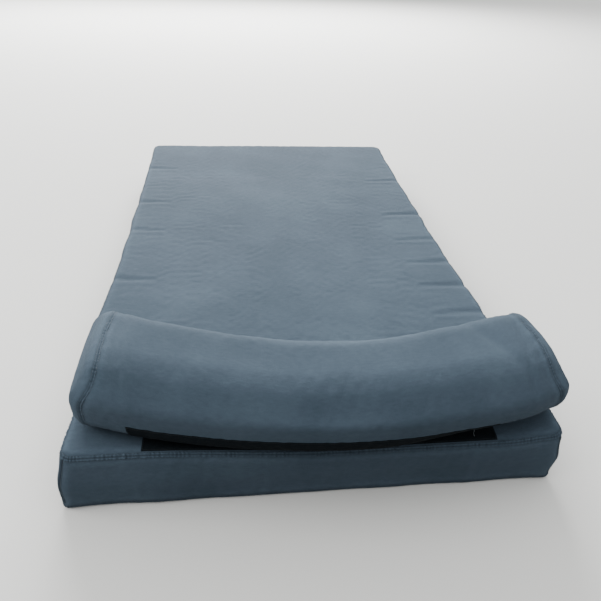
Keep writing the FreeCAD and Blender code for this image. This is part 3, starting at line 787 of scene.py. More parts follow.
def bed_top(at):
    """Behind the bolster the top is crowned, grooved from its edges inward, and full at the rear."""
    behind = smoothstep(-0.47, -0.38, at.y)
    crown = (1 - (at.x / SIDE_X) ** 4) * (1 - np.clip(np.abs(at.y - 0.05) / 0.60, 0, 1) ** 4)
    flat = np.stack([at.x, at.y], -1)
    soft = 0.9 * ripples(flat, 0.42, 8) + 0.35 * ripples(flat, 0.12, 9)
    grooves = edge_creases(at.y + CREASE_LEAN * (SIDE_X - at.x), CREASES, 8 * MM)
    grooves = grooves * smoothstep(SIDE_X - 0.11, SIDE_X - 0.01, at.x)
    left_grooves = edge_creases(at.y + LEFT_CREASE_LEAN * (SIDE_X + at.x), LEFT_CREASES, 8 * MM)
    grooves = grooves + left_grooves * smoothstep(SIDE_X - 0.09, SIDE_X - 0.01, -at.x)
    full = 5.5 * smoothstep(0.35, 0.60, at.y) * smoothstep(0.55, 0.95, at.level)
    return 0.0, 0.0, (at.top * behind * (3.0 * crown + soft - 2.2 * grooves) + full) * MM


def add_moves(points, at, parts):
    """The points plus the (x, y, z) moves that each part gives for the places they start from."""
    return points + sum(np.stack(np.broadcast_arrays(*part(at)), -1) for part in parts)


def bed_deform(points):
    """The slack of the mattress cover, kept above the ground."""
    made = add_moves(points, BedPlaces(points), (bed_belly, bed_front, bed_bulges, bed_edges, bed_top))
    made[:, 2] = np.maximum(made[:, 2], 0)
    return made


def bed_settle(points, quads, seams):
    """Settles the cover, held firmly on the ground, under the bolster and round the zip."""
    _, y, z = points.T
    ground = 1 - smoothstep(0.5 * MM, 6 * MM, z)
    under = smoothstep(BED_TOP - 12 * MM, BED_TOP - 4 * MM, z) * (1 - smoothstep(-0.46, -0.39, y))
    zipped = smoothstep(0, 0.8, rear_zip_hold(points))
    hold = np.maximum(np.maximum(LEAST_HOLD, ground), np.maximum(under, zipped))
    moved = settle_cloth(points, quads, seams, hold, pressure=10)
    moved[:, 2] = np.maximum(moved[:, 2], 0)
    return moved


bed = Cushion(
    SIDE_X, SIDE_Y, BED_TOP / 2, BED_CORNER, BED_EDGE, SEAM_DROP, bed_place, bed_inside, spacing=9 * MM
).build(bed_deform, bed_settle)


# ---- the bolster cover ------------------------------------------------------------------------------------

BOLSTER_MIDDLE = (BOLSTER_LEFT + BOLSTER_RIGHT) / 2
BOLSTER_HALF = (BOLSTER_RIGHT - BOLSTER_LEFT) / 2
BOLSTER_LEVEL = BOLSTER_BASE + BOLSTER_HEIGHT / 2
HALF_DEPTH, HALF_HEIGHT = BOLSTER_DEPTH / 2, BOLSTER_HEIGHT / 2
MIDDLE_RADIUS = BOW_RADIUS - HALF_DEPTH
ARC_MIDDLE = math.radians(-2.741)
ARC_SLOT = math.radians(15.5)

# Folds of the top near its ends: strength, slant, place along X, and width.
FOLDS = (
    (1.0, 0.5, 0.262, 14 * MM),
    (0.8, 0.2, -0.285, 13 * MM),
    (0.5, -0.3, 0.315, 10 * MM),
    (0.4, 0.4, -0.20, 16 * MM),
)


def bow_y(x, radius):
    """Where an arc of that radius round the bow's centre passes x."""
    return BOW_Y - np.sqrt(radius**2 - (x - BOW_X) ** 2)


def bow_turn(points):
    """The angle of each point round the bow's centre, from straight in front of it."""
    return np.arctan2(points[..., 0] - BOW_X, BOW_Y - points[..., 1])


def bolster_place(p, q, w):
    x = BOLSTER_MIDDLE + w
    return np.stack([x, bow_y(x, MIDDLE_RADIUS - p), BOLSTER_LEVEL + q], -1)


def bolster_inside(points):
    """The place on the bolster's middle line near each point, so that outward is away from it."""
    inset = 50 * MM
    x = np.clip(points[..., 0], BOLSTER_LEFT + inset, BOLSTER_RIGHT - inset)
    return np.stack([x, bow_y(x, MIDDLE_RADIUS), np.full(x.shape, BOLSTER_LEVEL)], -1)


def bolster_depth_at(points):
    """How far each point is behind the middle of the bolster's depth."""
    return MIDDLE_RADIUS - np.hypot(points[..., 0] - BOW_X, points[..., 1] - BOW_Y)


def back_zip_hold(points):
    """1 on the strip of the bolster's back that carries the zip, falling to 0 round it."""
    near = smoothstep(HALF_DEPTH - 16 * MM, HALF_DEPTH - 6 * MM, bolster_depth_at(points))
    level = 1 - smoothstep(13 * MM, 28 * MM, np.abs(points[..., 2] - BOLSTER_LEVEL))
    past = np.abs(bow_turn(points) - ARC_MIDDLE)
    return near * level * (1 - smoothstep(ARC_SLOT + 0.01, ARC_SLOT + 0.05, past))


class BolsterPlaces:
    """Where points are on the bolster: distances behind and above its middle, and weights for its parts."""

    def __init__(self, points):
        self.x = points[:, 0]
        self.depth = bolster_depth_at(points)
        self.level = points[:, 2] - BOLSTER_LEVEL
        self.turn = bow_turn(points)
        self.free = 1 - back_zip_hold(points)
        self.upper = smoothstep(5 * MM, 48 * MM, self.level)
        self.back = smoothstep(0, HALF_DEPTH, self.depth)
        self.front = smoothstep(0, HALF_DEPTH, -self.depth)
        self.dip = bump(self.x, 0.02, 0.13)
        self.soft = 1.5 * ripples(points, 0.23, 12) + 0.6 * ripples(points, 0.09, 13)
        self.out = np.abs(self.x - BOLSTER_MIDDLE)
        self.side = np.sign(self.x - BOLSTER_MIDDLE)
        self.near_end = smoothstep(BOLSTER_HALF - 0.10, BOLSTER_HALF - 0.005, self.out) * self.side

    def by_side(self, right, left):
        """One value on the right half and another on the left."""
        return np.where(self.side > 0, right, left)

    def backward(self, distance):
        """A move of that distance square to the bow."""
        return -np.sin(self.turn) * distance, np.cos(self.turn) * distance


def bolster_ends(at):
    """The ends lean in at the top and droop, and their caps are crowned."""
    round_depth = np.clip(1 - (at.depth / HALF_DEPTH) ** 2, 0, 1)
    crown = np.sqrt(round_depth * np.clip(1 - (at.level / HALF_HEIGHT) ** 2, 0, 1)) * at.by_side(7, 4)
    cap = smoothstep(BOLSTER_HALF - 17 * MM, BOLSTER_HALF - 1 * MM, at.out) * at.side
    lean = smoothstep(0, 54 * MM, at.level) * at.by_side(15 + 6 * at.back, 20 + 8 * at.back)
    droop = smoothstep(BOLSTER_HALF - 0.085, BOLSTER_HALF, at.out) * at.by_side(7, 6)
    return (cap * crown - at.near_end * (lean + at.by_side(4, 3))) * MM, 0.0, -at.upper * droop * MM


def bolster_girth(at):
    """The front bellies, the back leans forward at the dip, and both are uneven above the foot."""
    above_foot = smoothstep(-46 * MM, -20 * MM, at.level)
    belly = at.front * (1.5 * (1 - (at.level / HALF_HEIGHT) ** 2) - 9 * np.maximum(at.near_end, 0) ** 2)
    lean = 9 * at.dip * at.back * at.upper
    uneven = above_foot * at.soft * (at.back - 0.7 * at.front)
    return *at.backward((uneven - lean - belly) * at.free * MM), 0.0


def bolster_top(at):
    """The top dips in its middle, rounds off towards the front, and folds near its ends."""
    shoulder = smoothstep(HALF_DEPTH - 72 * MM, HALF_DEPTH - 5 * MM, -at.depth)
    shoulder = shoulder * smoothstep(0, HALF_HEIGHT, at.level) * (1 - 0.6 * np.abs(at.near_end))
    folds = sum(k * bump(at.x + slant * at.depth, place, width) for k, slant, place, width in FOLDS)
    return 0.0, 0.0, (at.upper * (at.soft - 11 * at.dip - 1.5 * folds) - 14 * shoulder) * MM


def bolster_curl(at):
    """The lower front edge curls up and back, most towards the right."""
    corner = smoothstep(38 * MM, HALF_DEPTH, -at.depth) * smoothstep(2 * MM, HALF_HEIGHT, -at.level)
    rightward = smoothstep(0.06, 0.24, at.x) * (1 - 0.4 * smoothstep(0.31, 0.36, at.x))
    curl = 0.7 * corner * (3 + 16 * rightward) * MM
    return *at.backward(curl), curl


def bolster_deform(points):
    """The shape of a well-used bolster."""
    return add_moves(
        points, BolsterPlaces(points), (bolster_ends, bolster_girth, bolster_top, bolster_curl)
    )


def bolster_settle(points, quads, seams):
    """Settles the cover, held firmly at its foot and round the zip."""
    foot = 1 - smoothstep(-48 * MM, -30 * MM, points[:, 2] - BOLSTER_LEVEL)
    zipped = smoothstep(0, 0.8, back_zip_hold(points))
    hold = np.maximum(np.maximum(LEAST_HOLD, foot), zipped)
    moved = settle_cloth(points, quads, seams, hold, pressure=8)
    moved[:, 2] = np.maximum(moved[:, 2], BOLSTER_BASE)
    return moved


bolster = Cushion(
    HALF_DEPTH, HALF_HEIGHT, BOLSTER_HALF, BOLSTER_CORNER, BOLSTER_EDGE, CAP_DEPTH,
    bolster_place, bolster_inside, spacing=8 * MM, foot=BOLSTER_FOOT_SQUARENESS,
).build(bolster_deform, bolster_settle)


# ---- panels -----------------------------------------------------------------------------------------------

PUCKER_PITCH = 5.6 * MM
COVER_FILL = 0.9
SEAM_CLOTH = 1.3 * MM


def edge_lines(low, high, spacing, fine=2.5 * MM, border=15 * MM):
    """Grid lines from low to high, closer together near both ends."""
    near = steps(low, low + border, fine)
    far = steps(high - border, high, fine)
    return np.concatenate([near[:-1], steps(low + border, high - border, spacing), far[1:]])


def tuck(distance, depth=1.4 * MM, reach=3.0 * MM):
    """How far a panel turns in next to its edge."""
    return -depth * (1 - smoothstep(0, reach, distance))


def seam_shade_and_wear(distance):
    """Painted shade darkens the crease beside a seam, and the fabric is rubbed a little paler just outside it.
    """
    return 0.30 * bump(distance, 9 * MM, 5 * MM) - 0.9 * np.exp(-distance / (2.6 * MM))


def puckers(along):
    """Puckers between the stitches of a seam, about -1 to 1, uneven in their spacing and in their depth."""
    phase = 2 * math.pi * along / PUCKER_PITCH + 2.2 * line_ripples(along, 35 * MM, 440)
    depth = np.clip(0.55 + 0.5 * line_ripples(along, 48 * MM, 441), 0.1, 1.0)
    return depth * np.sin(phase) + 0.3 * line_ripples(along, 9 * MM, 442)


def gathers(along, distance, seed, depth=0.55 * MM):
    """Short puckers at right angles to a seam, dying away from it."""
    ridges = line_ripples(along, 19 * MM, seed) + 0.6 * line_ripples(along, 10 * MM, seed + 1)
    strength = 0.55 + 0.45 * line_ripples(along, 0.15, seed + 2)
    fine = 0.5 * puckers(along) * np.exp(-distance / (6.5 * MM))
    longer = line_ripples(along, 38 * MM, seed + 3) * np.exp(-distance / (24 * MM))
    return depth * (strength * (ridges * np.exp(-distance / (9 * MM)) + 0.7 * longer) + fine)


def unevenness(u, v, seed):
    """The slight unevenness of slack fabric."""
    return 0.12 * MM * ripples(np.stack([u, v], -1), 26 * MM, seed)


def cover_panel(name, surface, u, v, height, shade_and_wear, body, node, grain=None):
    """A panel of the cover on a surface. grain gives its fabric coordinates where they aren't u and v."""
    uv = np.stack(grain or (u, v), -1)
    sheet_piece(
        name, surface.at(u, v), height, CLOTH, surface.inside, uv, shade_and_wear=shade_and_wear,
        material=COVER, body=body, slot="cover_fabric", nodes=(node,), fill=COVER_FILL,
    )


def end_panel(name, cushion, facing, body, node, seed, spacing):
    """The panel on one end of a cushion, edge to edge."""
    end = cushion.first if facing > 0 else cushion.last
    us = edge_lines(end.us[0], end.us[-1], spacing)
    vs = edge_lines(end.vs[0], end.vs[-1], spacing)
    u, v = np.meshgrid(us, vs)
    from_side, from_row = end.us[-1] - np.abs(u), end.vs[-1] - np.abs(v)
    nearest = np.minimum(from_side, from_row)
    height = tuck(nearest) + gathers(v, from_side, seed) + gathers(u, from_row, seed + 10)
    height = height + unevenness(u, v, seed + 20)
    # Its colour takes painted shade in the crease along its sewn edges, and a little rubbed paleness just
    # inside them.
    cover_panel(name, end, u, v, height, seam_shade_and_wear(nearest), body, node)


def side_panel(name, cushion, start, stop, top, bottom, body, node, seed, edges=(1, 1), spacing=5 * MM):
    """A panel on a cushion's side, from start to stop round it. top and bottom say where its long edges
    run, and edges which of the two are sewn to an end."""
    tall = cushion.tall
    share = edge_lines(0, 1, spacing / tall, 2.5 * MM / tall, 12 * MM / tall)
    u, share = np.meshgrid(edge_lines(start, stop, spacing), share)
    high, low = top(u), bottom(u)
    v = high + (low - high) * share
    from_top, from_bottom, from_ends = v - high, low - v, np.minimum(u - start, stop - u)
    nearest = np.minimum(np.where(edges[0], from_top, 1), np.where(edges[1], from_bottom, 1))
    height = tuck(np.minimum(np.minimum(from_top, from_bottom), from_ends))
    height = height + gathers(u, nearest, seed, 0.5 * MM) + unevenness(u, v, seed + 20)
    # Painted shade in the creases beside the sewn edges, a little rubbed paleness outside them, and painted
    # light and shade along the puckers near the seams.
    shade_and_wear = seam_shade_and_wear(np.minimum(nearest, from_ends))
    shade_and_wear = shade_and_wear + 0.25 * puckers(u) * np.exp(-nearest / (6 * MM))
    cover_panel(name, cushion.side, u, v, height, shade_and_wear, body, node)


def straight(value):
    return lambda u: np.full(np.shape(u), value)


BED_FACE = bed.tall
BED_ROUND = bed.around[-1]
AT_FRONT_LEFT = 0.0
AT_FRONT_RIGHT = bed.around_at(bed.ps[-1], bed.qs[0])
AT_REAR_RIGHT = bed.around_at(bed.ps[-1], bed.qs[-1])
AT_REAR_LEFT = bed.around_at(bed.ps[0], bed.qs[-1])


def zip_gap(closing):
    """Half the opening beside a zip: nearly shut where closing is 1."""
    return ZIP_END_GAP + (SLOT_HALF - ZIP_END_GAP) * (1 - closing)


def rear_gap(u):
    """Half the opening in the rear boxing, at u round it."""
    x = np.abs(bed.side.at(u, BED_FACE / 2)[..., 0])
    return zip_gap(smoothstep(SLOT_X - 3 * MM, SLOT_X + 1 * MM, x))


def rear_edge(side):
    """The edge of the opening above the zip (side -1) or below it (side 1)."""
    return lambda u: BED_FACE / 2 + side * rear_gap(u)


whole = (straight(0.0), straight(BED_FACE))
upper, lower = (straight(0.0), rear_edge(-1)), (rear_edge(1), straight(BED_FACE))
behind = (AT_REAR_RIGHT, AT_REAR_LEFT)
end_panel("Top_panel", bed, 1, "mattress", "mattress_top_panel", 30, 5 * MM)
end_panel("Base_panel", bed, -1, "mattress", "mattress_base_panel", 60, 9 * MM)
side_panel("Front_boxing", bed, AT_FRONT_LEFT, AT_FRONT_RIGHT, *whole, "mattress", "front_boxing", 90)
side_panel("Right_boxing", bed, AT_FRONT_RIGHT, AT_REAR_RIGHT, *whole, "mattress", "right_boxing", 120)
side_panel("Left_boxing", bed, AT_REAR_LEFT, BED_ROUND, *whole, "mattress", "left_boxing", 150)
side_panel("Rear_boxing_upper", bed, *behind, *upper, "mattress", "rear_boxing_upper", 180, (1, 0), 3 * MM)
side_panel("Rear_boxing_lower", bed, *behind, *lower, "mattress", "rear_boxing_lower", 210, (0, 1), 3 * MM)
end_panel("Right_cap", bolster, 1, "bolster", "bolster_right_cap", 240, 3 * MM)
end_panel("Left_cap", bolster, -1, "bolster", "bolster_left_cap", 270, 3 * MM)

AT_BACK = bolster.around_at(bolster.ps[-1], 0.0)
WRAP_LENGTH = bolster.tall
WRAP_ROUND = bolster.around[-1]


def back_gap(v):
    """Half the opening in the bolster's wrap, at v along its length."""
    past = np.abs(bow_turn(bolster.side.at(AT_BACK, v)) - ARC_MIDDLE)
    return zip_gap(smoothstep(ARC_SLOT - 3 * MM / BACK_RADIUS, ARC_SLOT + 1 * MM / BACK_RADIUS, past))


def wrap_panel():
    """The one panel wrapped round the bolster, from one side of the back opening to the other."""
    share = edge_lines(0, 1, 5 * MM / WRAP_ROUND, 2 * MM / WRAP_ROUND, 0.03)
    v, share = np.meshgrid(edge_lines(0, WRAP_LENGTH, 5 * MM), share)
    gap = back_gap(v)
    u = AT_BACK + gap + (WRAP_ROUND - 2 * gap) * share
    from_ends = np.minimum(v, WRAP_LENGTH - v)
    from_gap = np.minimum(u - AT_BACK - gap, AT_BACK + WRAP_ROUND - gap - u)
    height = tuck(np.minimum(from_ends, from_gap)) + gathers(u, from_ends, 300, 0.7 * MM)
    height = height + unevenness(u, v, 310)
    # Painted shade in the crease beside the cap seams, and a little rubbed paleness just inside them.
    shade_and_wear = seam_shade_and_wear(from_ends)
    cover_panel(
        "Wrap_panel", bolster.side, u, v, height, shade_and_wear, "bolster", "bolster_wrap_panel", grain=(v, u)
    )


wrap_panel()


# ---- felled seams and stitching ---------------------------------------------------------------------------

# Across a seam, as shares of its half width; the stitches run on the two rows at 0.70.
SEAM_SHARES = np.array([-1, -0.94, -0.82, -0.70, -0.5, -0.3, -0.12, 0, 0.12, 0.3, 0.5, 0.70, 0.82, 0.94, 1])
STITCH_ROWS = (3, 11)
STITCH_SHARE = 0.70

bed_stitches = Seamstress(COVER_STITCH)
bolster_stitches = Seamstress(COVER_STITCH)


def felled_seam(name, cushion, facing, body, seed, stitches, half=4.8 * MM, depth=1.6 * MM):
    """A raised double seam: two pads with a groove between them, puckered by two rows of stitches."""
    around = np.arange(0, cushion.around[-1] - 0.7 * MM, 1.4 * MM)
    u, a = np.meshgrid(around, SEAM_SHARES * half)
    off = np.abs(a)
    pads = bump(off, 0.52 * half, 0.30 * half) + bump(-off, 0.52 * half, 0.30 * half)
    pads = pads + 0.25 * bump(a, 0, 0.10 * half)
    pinch = puckers(u) + 0.3 * line_ripples(u + 0.6 * a, 11 * MM, seed + 1)
    swell = 1 + 0.18 * line_ripples(u, 60 * MM, seed + 2)
    drawn = 0.35 * bump(off, STITCH_SHARE * half, 0.5 * MM)
    height = depth * (pads * swell + 0.42 * pinch * (0.35 + pads) - drawn) - 0.55 * MM
    height = height - 0.9 * MM * smoothstep(0.80 * half, half, off)
    # Painted highlight on the two pads and the pucker crests, and painted shade in the pucker hollows, the
    # middle groove and the tucked-in edges.
    shade_and_wear = 0.5 * pads * (0.6 + 0.6 * pinch) - 0.35 * np.maximum(-pinch, 0) - 0.7 * bump(a, 0, 0.8 * MM)
    shade_and_wear = np.clip(shade_and_wear - 0.6 * smoothstep(0.75 * half, half, off), -0.9, 0.9)
    points = cushion.seam_strip(facing, u, a)
    height = np.minimum(height, np.maximum(points[..., 2] - 0.1 * MM, 0))
    _, outer, normals = sheet_piece(
        name, points, height, SEAM_CLOTH, cushion.inside, np.stack([u, a], -1), looped=True,
        shade_and_wear=shade_and_wear, material=COVER, body=body, slot="cover_fabric", fill=COVER_FILL,
    )
    for row in STITCH_ROWS:
        closed = np.concatenate([outer[row], outer[row, :1]])
        closed[:, 2] = np.maximum(closed[:, 2], 0.7 * MM)
        stitches.sew(closed, np.concatenate([normals[row], normals[row, :1]]))


felled_seam("Top_seam", bed, 1, "mattress", 400, bed_stitches)
felled_seam("Base_seam", bed, -1, "mattress", 410, bed_stitches, 4.4 * MM, 0.6 * MM)
felled_seam("Right_cap_seam", bolster, 1, "bolster", 420, bolster_stitches, 4.2 * MM, 1.0 * MM)
felled_seam("Left_cap_seam", bolster, -1, "bolster", 430, bolster_stitches, 4.2 * MM, 1.0 * MM)


def plain_stitching():
    """Rows of stitches down the mattress's upright corners and beside both zips."""
    margin, sampling, from_zip = 6 * MM, 2 * MM, 3 * MM
    down = steps(margin, BED_FACE - margin, sampling)
    for corner in (AT_FRONT_LEFT, AT_FRONT_RIGHT, AT_REAR_RIGHT, AT_REAR_LEFT):
        for offset in (-3.2 * MM, 3.2 * MM):
            bed_stitches.sew_on(bed.side, np.full(down.shape, corner + offset), down)
    across = steps(AT_REAR_RIGHT + 8 * MM, AT_REAR_LEFT - 8 * MM, sampling)
    lengths = steps(margin, WRAP_LENGTH - margin, sampling)
    for side in (-1, 1):
        bed_stitches.sew_on(bed.side, across, BED_FACE / 2 + side * (rear_gap(across) + from_zip))
        bolster_stitches.sew_on(bolster.side, AT_BACK + side * (back_gap(lengths) + from_zip), lengths)


plain_stitching()
bed_stitches.finish("Mattress_stitching", COVER_THREAD, "mattress", "cover_fabric")
bolster_stitches.finish("Bolster_stitching", COVER_THREAD, "bolster", "cover_fabric")


# ---- foam -------------------------------------------------------------------------------------------------

FOAM_INSET, FOAM_GAP = 13 * MM, 1 * MM
FOAM_ROUNDING = 12 * MM
FOAM_FILL = 0.98


def soft_block(low, high, rounding, spacing=12 * MM):
    """Points and quads of a box with rounded edges."""
    low, high = np.array(low), np.array(high)
    sizes = [steps(a, b, spacing if b - a > 0.1 else spacing / 2) for a, b in zip(low, high)]
    points, quads, count = [], [], 0
    for axis in range(3):
        first, second = [k for k in range(3) if k != axis]
        for end in (0, 1):
            a, b = np.meshgrid(sizes[first], sizes[second])
            face = np.empty(a.shape + (3,))
            face[..., first], face[..., second] = a, b
            face[..., axis] = (low, high)[end][axis]
            made = grid_quads(count + np.arange(a.size).reshape(a.shape))
            quads.append(made if (end == 1) == (axis != 1) else made[:, ::-1])
            points.append(face.reshape(-1, 3))
            count += a.size
    merged, where = np.unique(np.round(np.concatenate(points), 7), axis=0, return_inverse=True)
    core = np.clip(merged, low + rounding, high - rounding)
    out = merged - core
    reach = np.linalg.norm(out, axis=1, keepdims=True)
    merged = core + out / np.maximum(reach, 1e-12) * np.minimum(reach, rounding)
    return merged, where.reshape(-1)[np.concatenate(quads)]


def foam_block(name, low, high, material, node):
    """A layer of the mattress's foam, which sags at the front under the cover."""
    points, quads = soft_block(low, high, FOAM_ROUNDING)
    points = points + 0.3 * MM * ripples(points, 30 * MM, 500)[:, None] * (points[:, 2:] > low[2] + 1 * MM)
    give = 11 * MM * front_sag(points[:, 0]) * smoothstep(0.53, 0.59, -points[:, 1])
    points[:, 2] -= give * smoothstep(0, BED_TOP, points[:, 2])
    add_piece(name, points, quads, material, "mattress", node, nodes=(node,), fill=FOAM_FILL)


def bolster_filling():
    """The bolster's foam: its cover's mesh, shrunk inside it and further behind the zip."""
    filling = add_piece(
        "Bolster_foam", bolster.points, bolster.quads, FILLING, "bolster", "bolster_foam",
        nodes=("bolster_foam",), fill=FOAM_FILL,
    )
    skin = np.empty(len(bolster.points) * 3)
    filling.data.vertex_normals.foreach_get("vector", skin)
    hollow = 3.2 * MM + 9 * MM * back_zip_hold(bolster.points)[:, None]
    filling.data.vertices.foreach_set("co", (bolster.points - hollow * skin.reshape(-1, 3)).reshape(-1))


for block, material in (("base_foam", BASE_FOAM), ("comfort_foam", COMFORT_FOAM)):
    block_low, block_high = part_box(block)
    low = (block_low.x + FOAM_INSET, block_low.y + FOAM_INSET, block_low.z + FOAM_GAP)
    high = (block_high.x - FOAM_INSET, block_high.y - FOAM_INSET, block_high.z - FOAM_GAP)
    foam_block(block.capitalize(), low, high, material, block)
bolster_filling()


# ---- hook and loop strips ---------------------------------------------------------------------------------

HOOK_LOW, HOOK_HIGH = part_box("hook_strip")
LOOP_LOW, LOOP_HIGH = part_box("loop_strip")
LOOP_FRONT_Z, LOOP_BACK = LOOP_HIGH.z + 11 * MM, 48 * MM
STRIP_BASE = 0.55 * MM
STRIP_LAP = 0.15 * MM
HOOK_PITCH, HOOK_MARGIN = 2.3 * MM, 3.2 * MM


def little_tubes(centres, radii, sides=4):
    """Points and quads of many short tubes. centres is (count, rings, 3) and radii has one value a ring."""
    count, rings = centres.shape[:2]
    tangents = np.gradient(centres, axis=1)
    tangents /= np.linalg.norm(tangents, axis=-1, keepdims=True)
    way = tangents.mean(1)
    reference = np.cross(way, np.where(np.abs(way)[:, :1] < 0.9, (1.0, 0, 0), (0, 1.0, 0)))
    across = np.cross(tangents, np.broadcast_to(reference[:, None], tangents.shape))
    across /= np.linalg.norm(across, axis=-1, keepdims=True)
    other = np.cross(tangents, across)
    turns = (np.arange(sides)[:, None] + 0.5) / sides * 2 * math.pi
    ring = np.cos(turns) * across[:, :, None] + np.sin(turns) * other[:, :, None]
    points = centres[:, :, None] + ring * np.asarray(radii)[None, :, None, None]
    ids, walls = tube_quads(rings, sides, count)
    return points.reshape(-1, 3), np.concatenate([walls, ids[:, 0, ::-1][:, :4], ids[:, -1, :4]])


def strip_spots(low, high, pitch):
    """Rows of (x, y) places across a strip, every second row shifted by half a pitch."""
    xs, ys = np.meshgrid(np.arange(low[0], high[0], pitch), np.arange(low[1], high[1], pitch * 0.9))
    xs = xs + (np.arange(len(ys)) % 2)[:, None] * pitch * 0.5
    keep = xs < high[0]
    return xs[keep], ys[keep]


def hooks():
    """The hooks of the hook tape: short bent threads, each heading roughly left or right."""
    low = (HOOK_LOW.x + HOOK_MARGIN, HOOK_LOW.y + HOOK_MARGIN)
    high = (HOOK_HIGH.x - HOOK_MARGIN, HOOK_HIGH.y - HOOK_MARGIN)
    xs, ys = strip_spots(low, high, HOOK_PITCH)
    draw = np.random.RandomState(21)
    heading = draw.uniform(-0.35, 0.35, xs.shape)
    heading = heading + np.where(draw.uniform(size=xs.shape) < 0.5, 0, math.pi)
    reach = np.array([-0.28, -0.25, -0.05, 0.22, 0.30])[:, None] * MM
    rise = np.array([0.0, 0.45, 0.72, 0.62, 0.42])[:, None] * MM + STRIP_BASE - 0.1 * MM
    radii = np.array([0.17, 0.15, 0.14, 0.13, 0.09]) * MM
    ground, up = bed.first.at(xs, ys), bed.first.normal(xs, ys)
    lean = np.stack([np.cos(heading), np.sin(heading), np.zeros(xs.shape)], -1)
    points, quads = little_tubes(ground[:, None] + lean[:, None] * reach + up[:, None] * rise, radii)
    add_piece("Hooks", points, quads, HOOK_TAPE, "mattress", "hook_tape")


def hook_strip():
    """The hook tape on the mattress's top, and the stitches round it."""
    us = edge_lines(HOOK_LOW.x, HOOK_HIGH.x, 4 * MM, 1 * MM, 3 * MM)
    vs = edge_lines(HOOK_LOW.y, HOOK_HIGH.y, 2.5 * MM, 0.8 * MM, 3 * MM)
    u, v = np.meshgrid(us, vs)
    rim = np.minimum(np.minimum(u - us[0], us[-1] - u), np.minimum(v - vs[0], vs[-1] - v))
    height = STRIP_BASE - STRIP_LAP * (1 - smoothstep(0, 1.2 * MM, rim))
    sheet_piece(
        "Hook_strip", bed.first.at(u, v), height, STRIP_BASE + STRIP_LAP, bed_inside, np.stack([u, v], -1),
        material=HOOK_TAPE, body="mattress", slot="hook_tape", nodes=("hook_strip",),
    )
    hooks()
    inset = 1.8 * MM
    sewing = Seamstress(TAPE_STITCH)
    low, high = (HOOK_LOW.x + inset, HOOK_LOW.y + inset), (HOOK_HIGH.x - inset, HOOK_HIGH.y - inset)
    sewing.sew_round(bed.first, low, high, STRIP_BASE)
    sewing.finish("Hook_strip_stitching", TAPE_THREAD, "mattress", "hook_tape")


def loose_thread():
    """A pale end of thread that lies across the hook strip near its right end."""
    share = np.linspace(0, 1, 26)
    x = HOOK_HIGH.x - 30 * MM - 4 * MM * share + 0.5 * MM * np.sin(7 * share)
    y = HOOK_LOW.y + 15 * MM - 10 * MM * share
    lift = (1.5 + 0.3 * np.sin(9 * share))[:, None] * MM
    spots = bed.first.at(x, y) + bed.first.normal(x, y) * lift
    points, quads = little_tubes(spots[None], np.full(len(share), 0.3 * MM), 6)
    add_piece("Loose_thread", points, quads, STRAY_THREAD, "mattress", "hook_tape")


def loop_lines():
    """Where round the bolster the loop strip's front and back edges run."""
    fine = 0.5 * MM
    around = steps(0, bolster.around_at(bolster.ps[-1], bolster.qs[0]), fine)
    around = np.concatenate([steps(-70 * MM, -fine, fine), around])
    spots = bolster.side.at(around, WRAP_LENGTH / 2)
    behind = bolster_depth_at(spots) + HALF_DEPTH
    ahead = behind < BOLSTER_DEPTH / 3
    front = around[ahead][np.argmin(np.abs(spots[ahead, 2] - LOOP_FRONT_Z))]
    back = around[np.argmin(np.abs(behind - LOOP_BACK) + 10 * (spots[:, 2] > BOLSTER_LEVEL))]
    return front, back


def length_at(around, x):
    """How far along the bolster, from its right cap's seam, the place at x is on a line along its side."""
    spots = bolster.side.at(around, bolster.side_vs)[:, 0]
    return float(np.interp(-x, -spots, bolster.side_vs))


def loop_strip():
    """The loop tape under the bolster's front, with a soft pile inside its rim and stitches round it."""
    front, back = loop_lines()
    right, left = length_at(front, LOOP_HIGH.x), length_at(front, LOOP_LOW.x)
    us = edge_lines(front, back, 2 * MM, 0.8 * MM, 3 * MM)
    vs = edge_lines(right, left, 3 * MM, 1 * MM, 3 * MM)
    u, v = np.meshgrid(us, vs)
    rim = np.minimum(np.minimum(u - front, back - u), np.minimum(v - right, left - v))
    pile = smoothstep(2.2 * MM, 3.4 * MM, rim)
    height = STRIP_BASE + pile * (0.40 + 0.10 * ripples(np.stack([u, v], -1), 6 * MM, 22)) * MM
    sheet_piece(
        "Loop_strip", bolster.side.at(u, v), height, 0.85 * MM, bolster_inside, np.stack([v, u], -1),
        material=LOOP_TAPE, body="bolster", slot="loop_tape", nodes=("loop_strip",),
    )
    inset = 1.6 * MM
    sewing = Seamstress(TAPE_STITCH)
    sewing.sew_round(bolster.side, (front + inset, right + inset), (back - inset, left - inset), 0.5 * MM)
    sewing.finish("Loop_strip_stitching", TAPE_THREAD, "bolster", "loop_tape")


hook_strip()
loose_thread()
loop_strip()


# ---- zips -------------------------------------------------------------------------------------------------

TAPE_EDGE = 10 * MM
TAPE_FACE = 2 * MM
TAPE_THICK = 0.6 * MM
TAPE_PART = 0.04 * MM
ZIP_PART = 0.6 * MM
COIL_HEIGHT = 2.4 * MM
COIL_HALF_DEPTH = 0.95 * MM
COIL_PITCH = 1.46 * MM
COIL_THREAD = 0.34 * MM
COIL_STEPS = 10
PULL_OUT = 2.7 * MM
ARC_ZIP = math.radians(15)
ARC_TAPE = math.radians(16.3)
ARC_SLIDER = math.radians(14.5015)


def on_mattress(along, out, up):
    """A point of the mattress zip: along it from its middle, out from the rear face, and up from its line."""
    return np.stack(np.broadcast_arrays(along, BED_HALF_Y + out, ZIP_Z + up), -1)


def mattress_yaw(along):
    return 0.0


